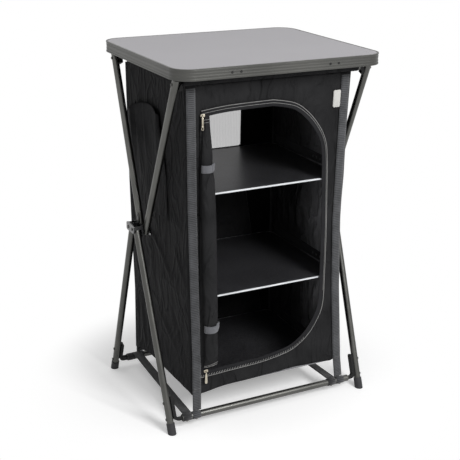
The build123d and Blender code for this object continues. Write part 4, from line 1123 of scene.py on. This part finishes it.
def makeTie(level, rise):
    width, share = along(rollWidths, level), along(rollSize["deep"], level)
    r = width * 0.93 + 0.9
    deep = r * share
    cx, cy = along(rollMiddles, level), rollSize["back"] - width * share
    path = []
    for k in range(17):
        a = math.radians(186 - k * 13)
        z = level + rise * smooth(k, 7, 16)
        path.append(Vector((cx + r * math.cos(a), cy - (deep + 0.8) * math.sin(a), z)))
    band = sweep(path, framesUp(path, Vector((0, 0, 1))), flatSection(tieSize["tall"], tieSize["thick"], 4))
    # the folded end of the tie stands up beside the roll
    x, y = cx + r * 0.86, cy - deep * 0.55
    path = [Vector((x + dx, y + dy, level + rise * share + dz)) for dx, dy, share, dz in (
        (-7.5, -3.6, 0.8, 0.0), (-2.0, -3.0, 1.0, 1.0), (1.6, -1.4, 1.2, 2.0), (2.6, 1.0, 1.2, 2.0),
        (0.6, 3.0, 1.0, 1.0))]
    up = Vector((0.06, 0, 1)).normalized()
    end = sweep(path, framesUp(path, up), flatSection(tieSize["tall"] + 2, tieSize["thick"] + 0.2, 4))
    return joined([band, end])


ties = joined([makeTie(*level) for level in tieSize["levels"]])
tie = newMesh("rollTies", ties, "tie", "root", ("roll_ties",))
foldsDown(roll, rollEdge, tie)
print("stage: rolled door made")


# Webbing down the corners
webSize = {"width": 25.5, "thick": 1.3, "foot": 46.0, "split": 104.0, "top": 942.0, "y": 203.6, "step": 12.7,
           "left": [(45.5, -222.5), (203, -223.5), (400, -229.5), (606, -235), (941, -239.5)],
           "right": [(45.5, 236), (107, 228), (332, 212), (543, 204.5), (740, 208.5), (941, 213)]}


def makeStrip(table, side, low, high):
    path = []
    parts = max(8, round((high - low) / webSize["step"]))
    for i in range(parts + 1):
        z = lerp(low, high, i / parts)
        x = along(table, z)
        ripple = 0.8 * noise.noise(Vector((z * 0.012, x * 0.01, 3.0)))
        path.append(Vector((x, side * (webSize["y"] + abs(ripple)), z)))
    out = Vector((0, side, 0))
    frames = [(t.cross(out).normalized(), out) for t in tangents(path)]
    return sweep(path, frames, flatSection(webSize["width"], webSize["thick"], 4))


# the upper lengths sink with the cabinet, the feet go over from the cabinet to the lower frame
for side, name in ((-1, "front"), (1, "rear")):
    left = webSize["left"] if side < 0 else [(z, x + (2 if z > 100 else 0)) for z, x in webSize["left"]]
    tables = (left, webSize["right"])
    pair = joined([makeStrip(table, side, webSize["split"], webSize["top"]) for table in tables])
    strip = newMesh("cornerWebbing" + name.capitalize(), pair, "webbing", "root",
                    ("corner_webbing_" + name,))
    foldsDown(strip)
    pair = joined([makeStrip(table, side, webSize["foot"], webSize["split"] + 0.3) for table in tables])
    feet = newMesh("webbingFeet" + name.capitalize(), pair, "webbing", None)
    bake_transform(feet)


# Loops round the lower cross tubes
loopSize = {"inner": 9.8, "thick": 1.2, "width": 24.5, "y": 204.25, "z": 33.0}
loopSets = {"corner": ("webbing", (-226.0, 240.0)), "strap": ("strap", (-254.0, 211.0))}


def makeWebLoop(x, side):
    r = loopSize["inner"] + loopSize["thick"] / 2
    around = circle(24)
    path = [Vector((x, side * loopSize["y"] + r * c, loopSize["z"] + r * s)) for c, s in around]
    frames = [(Vector((1, 0, 0)), Vector((0, c, s))) for c, s in around]
    return sweep(path, frames, flatSection(loopSize["width"], loopSize["thick"], 2), closed=True)


for side, name in ((-1, "front"), (1, "rear")):
    for use, (look, places) in loopSets.items():
        newMesh(use + "Loops" + name.capitalize(), joined([makeWebLoop(x, side) for x in places]), look,
                "lower_" + name, ("webbing_loops_" + name,) if use == "corner" else ())

# Base straps from front to rear
strapSize = {"width": 26.0, "thick": 1.3, "z": 45.4, "sag": 4.0, "end": 203.5,
             "runs": (((-203.5, -254.0), (0, -243.0), (203.5, -236.0)),
                      ((-203.5, 211.0), (0, 208.0), (203.5, 205.0))),
             "stitched": ((-233.5, -26.0, 42.8), (-233.5, -12.0, 42.8))}


def makeBaseStrap(run):
    path = []
    for i in range(41):
        y = lerp(-strapSize["end"], strapSize["end"], i / 40)
        path.append(Vector((along(run, y), y, strapSize["z"] - strapSize["sag"] * math.sin(math.pi * i / 40))))
    return sweep(path, framesBy(path, (0, 0, 1)), flatSection(strapSize["width"], strapSize["thick"], 4))


straps = newMesh("baseStraps", joined([makeBaseStrap(run) for run in strapSize["runs"]]), "strap", "root",
                 ("base_straps",))
stitches = beads("strapStitches", [strapSize["stitched"]], 3.4, (0.8, 2.6, 1.0), "thread", "root",
                 uneven=0.15, seed=6)
for piece in (straps, stitches):
    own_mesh(piece)
print("stage: webbing made")


# Side pocket
pocketSize = {"front": [(560, -72), (684, -70), (787, -40), (850, -27)], "back": 190.0, "low": 560.0,
              "high": 850.0, "deep": 13.5, "proud": 0.6, "thick": 1.0, "across": 76, "tall": 60,
              "mouth": [(-72, 850), (-54, 850), (-28, 843), (-8, 853), (5, 858), (28, 860), (50, 858),
                        (84, 851), (97, 847), (112, 853), (124, 848), (155, 824), (190, 812)],
              # place, width, depth and rise of each pleat; place, width and height of each patch of painted
              # shade over the mouth
              "pleats": ((147, 8, 0.8, 0), (128, 7, -0.45, 0), (98, 11, 0.75, 0), (72, 8, -0.2, 0),
                         (50, 8, 0.5, 1), (-26, 11, 0.85, 0)),
              # dark is the span along the wall of the painted shade behind the mouth
              "openings": ((102, 13, 9.0), (74, 20, 5.0), (-17, 10, 9.0)), "dark": (132, -27)}


def makePocket():
    across, tall, low = pocketSize["across"], pocketSize["tall"], pocketSize["low"]
    verts = []
    for i in range(tall + 1):
        v = i / tall
        z = lerp(low, pocketSize["high"], v)
        front = along(pocketSize["front"], z)
        loose = smooth(v, 0.1, 1.0)
        for k in range(across + 1):
            u = k / across
            y = lerp(front, pocketSize["back"], u)
            edge = math.sin(math.pi * u) ** 0.28 if 0 < u < 1 else 0.0
            out, lift = 4.0 + 4.0 * loose, 0.0
            for place, wide, deep, rise in pocketSize["pleats"]:
                spot = place + (place - 60) * 0.12 * (1 - v)
                near = math.exp(-(abs(y - spot) / (wide * (1.5 - 0.5 * v))) ** 1.25)
                out += pocketSize["deep"] * deep * loose * near
                lift += rise * near * smooth(v, 0.86, 1.0)
            out += 1.6 * noise.noise(Vector((y * 0.025, z * 0.01, 8.0)))
            out += 0.8 * noise.noise(Vector((y * 0.09, z * 0.025, 2.0)))
            droop = 2.5 * (1 - edge) * smooth(v, 0.8, 1.0)
            up = low + (along(pocketSize["mouth"], y) - low) * v + lift - droop
            x = hang(-cabinet["half"], y, z) - max(out * edge, 1.0) - pocketSize["proud"]
            verts.append((x, y, up))
    return verts, sheetFaces(tall, across, turned=True)


def makePocketShade(columns=44, rows=5):
    # a near-black sheet on the wall behind the pocket's mouth: painted shade, seen where the pleats stand off
    # the wall
    verts = []
    for k in range(columns + 1):
        y = lerp(*pocketSize["dark"], k / columns)
        mouth = along(pocketSize["mouth"], y)
        rise = sum(tall * math.exp(-((y - at) / wide) ** 2) for at, wide, tall in pocketSize["openings"]) - 3
        for i in range(rows + 1):
            p = wallPoint("left", y, lerp(mouth - 24, mouth + rise, i / rows))
            verts.append((p.x - 0.9, p.y, p.z))
    return verts, sheetFaces(columns, rows)


# painted shade behind the pocket's mouth
inside = newMesh("pocketMouthShade", makePocketShade(), "paintedShadeCloth", "root")
foldsDown(inside)
pocket = newMesh("sidePocket", makePocket(), "pocket", "root", ("side_pocket",))
thicken(pocket, pocketSize["thick"], 0.0)


# Care label
labelSize = {"across": (176.5, 199.0), "up": (856.5, 903.0), "corner": 3.0, "y": -205.4, "thick": 0.4}


def makeLabel(rows=16, columns=6):
    (x0, x1), (z0, z1), corner = labelSize["across"], labelSize["up"], labelSize["corner"]
    verts = []
    for i in range(rows + 1):
        z = lerp(z0, z1, i / rows)
        inset = corner * (1 - math.sin(math.acos(1 - min(1, min(z - z0, z1 - z) / corner))))
        for k in range(columns + 1):
            x = lerp(x0 + inset, x1 - inset, k / columns) + (z - z1) * 0.03
            bulge = 0.8 * math.sin(math.pi * i / rows) * math.sin(math.pi * k / columns)
            verts.append((x, labelSize["y"] - bulge, z))
    return verts, sheetFaces(rows, columns)


label = newMesh("careLabel", makeLabel(), "label", "root", ("care_label",))
thicken(label, labelSize["thick"])

# Sliders and pulls of the zip; the upper pull is a small barrel with rings, the lower one a flat tab
zipParts = {"y": -206.0, "hinge": -209.5, "loop": 1.8, "wire": 0.65, "bar": 0.8,
            "upper": (-209.6, 874.0, 873.3), "lower": (-197.5, 160.0, 158.5),  # X, height, height of the hinge
            "wings": [(-6.2, 2.6, 1.2), (-5.0, 3.9, 2.0), (-2.6, 4.4, 1.9), (-1.0, 4.4, 0.8), (4.0, 3.4, 0.8),
                      (5.4, 2.8, 1.8), (6.4, 2.0, 1.2)],
            "barrel": [(0.0, 1.1), (-4.4, 1.2), (-5.4, 2.6), (-8.2, 3.3), (-9.4, 1.7), (-10.6, 2.6),
                       (-24.0, 2.6), (-24.8, 1.8), (-26.0, 3.4), (-28.6, 3.4), (-29.6, 1.6)],
            "tab": [(-1.6, 1.3), (-3.6, 1.9), (-6.0, 2.7), (-24.0, 3.6), (-29.0, 3.8), (-32.0, 3.1),
                    (-33.6, 1.6)]}
rightwards, forwards, upwards = Vector((1, 0, 0)), Vector((0, -1, 0)), Vector((0, 0, 1))


def blunt(value):
    return math.copysign(abs(value) ** 0.6, value)


def makeSlider(x, z, archX, archZ):
    # thinner in the middle, so that the loop of the pull turns round the bar of the arch
    wings = zipParts["wings"]
    path = [Vector((x - at, zipParts["y"], z)) for at, tall, deep in wings]
    body = sweep(path, [(upwards, forwards)] * len(wings),
                 lambda i: [(blunt(c) * wings[i][1], blunt(s) * wings[i][2]) for c, s in circle(16)])
    arch = [Vector((archX - 3.6 * math.cos(a), zipParts["y"] - 0.4 - 3.1 * math.sin(a), archZ))
            for a in (math.pi * k / 10 for k in range(11))]
    return joined([body, cord(arch, zipParts["bar"], 8, (0, 0, 1))])


def wireRing(middle, wide, tall, axis, thin, sides=18):
    middle = Vector(middle)
    points = [middle + wide * c + tall * s for c, s in circle(sides)]
    return sweep(points, [((p - middle).normalized(), axis) for p in points], roundSection(thin), closed=True)


def makePullLoop(x, z):
    # stands across the arch and is centred on the hinge, so the swing turns it in its own place
    reach = zipParts["loop"]
    return wireRing((x, hinge, z), -forwards * reach, upwards * reach, rightwards, zipParts["wire"])


hinge, barrel, tab = zipParts["hinge"], zipParts["barrel"], zipParts["tab"]
(upX, upZ, upHinge), (lowX, lowZ, lowHinge) = zipParts["upper"], zipParts["lower"]
upSlider = makeSlider(upX + 2.0, upZ - 2.0, upX, upHinge)
lowSlider = makeSlider(lowX + 1.0, lowZ + 1.0, lowX, lowHinge)
bodies = joined([upSlider, lowSlider])
sliders = newMesh("zipSliders", bodies, "zipMetal", "root", ("zip_sliders",))
path = [Vector((upX, hinge - 0.9, upZ - 2.0 + z)) for z, r in barrel]
turned = sweep(path, [(rightwards, forwards)] * len(path),
               lambda i: [(a, b * 0.7) for a, b in roundSection(barrel[i][1], 14)])
endRing = wireRing((upX, hinge - 0.9, upZ - 34.8), rightwards * 3.0, upwards * 3.0 * 1.15, forwards, 0.85)
upper = joined([makePullLoop(upX, upHinge), turned, endRing])
pullUpper = newMesh("zipPullUpper", upper, "zipMetal", "pull_upper", ("zip_pull_upper",))
ladder = beads("zipPullRungs", [[(upX, hinge - 1.2, upZ - 13.5), (upX, hinge - 1.2, upZ - 25.5)]], 2.9,
               (1.1, 4.6, 6.2), "zipMetal", "pull_upper", uneven=0.0)
path = [Vector((lowX, hinge - 0.6, lowZ - 2.0 + z)) for z, r in tab]
corners = ((-1, -0.6), (-0.8, -1), (0.8, -1), (1, -0.6), (1, 0.6), (0.8, 1), (-0.8, 1), (-1, 0.6))
plate = sweep(path, [(rightwards, forwards)] * len(tab),
              lambda i: [(a * tab[i][1], b * 0.9) for a, b in corners])
endRing = wireRing((lowX, hinge - 1.5, lowZ - 29.5), rightwards * 1.7, upwards * 1.7, forwards, 0.6)
lower = joined([plate, makePullLoop(lowX, lowHinge), endRing])
pullLower = newMesh("zipPullLower", lower, "zipMetal", "pull_lower", ("zip_pull_lower",))
foldsDown(pocket, label, sliders, pullUpper, ladder, pullLower)

print("stage: all pieces made")
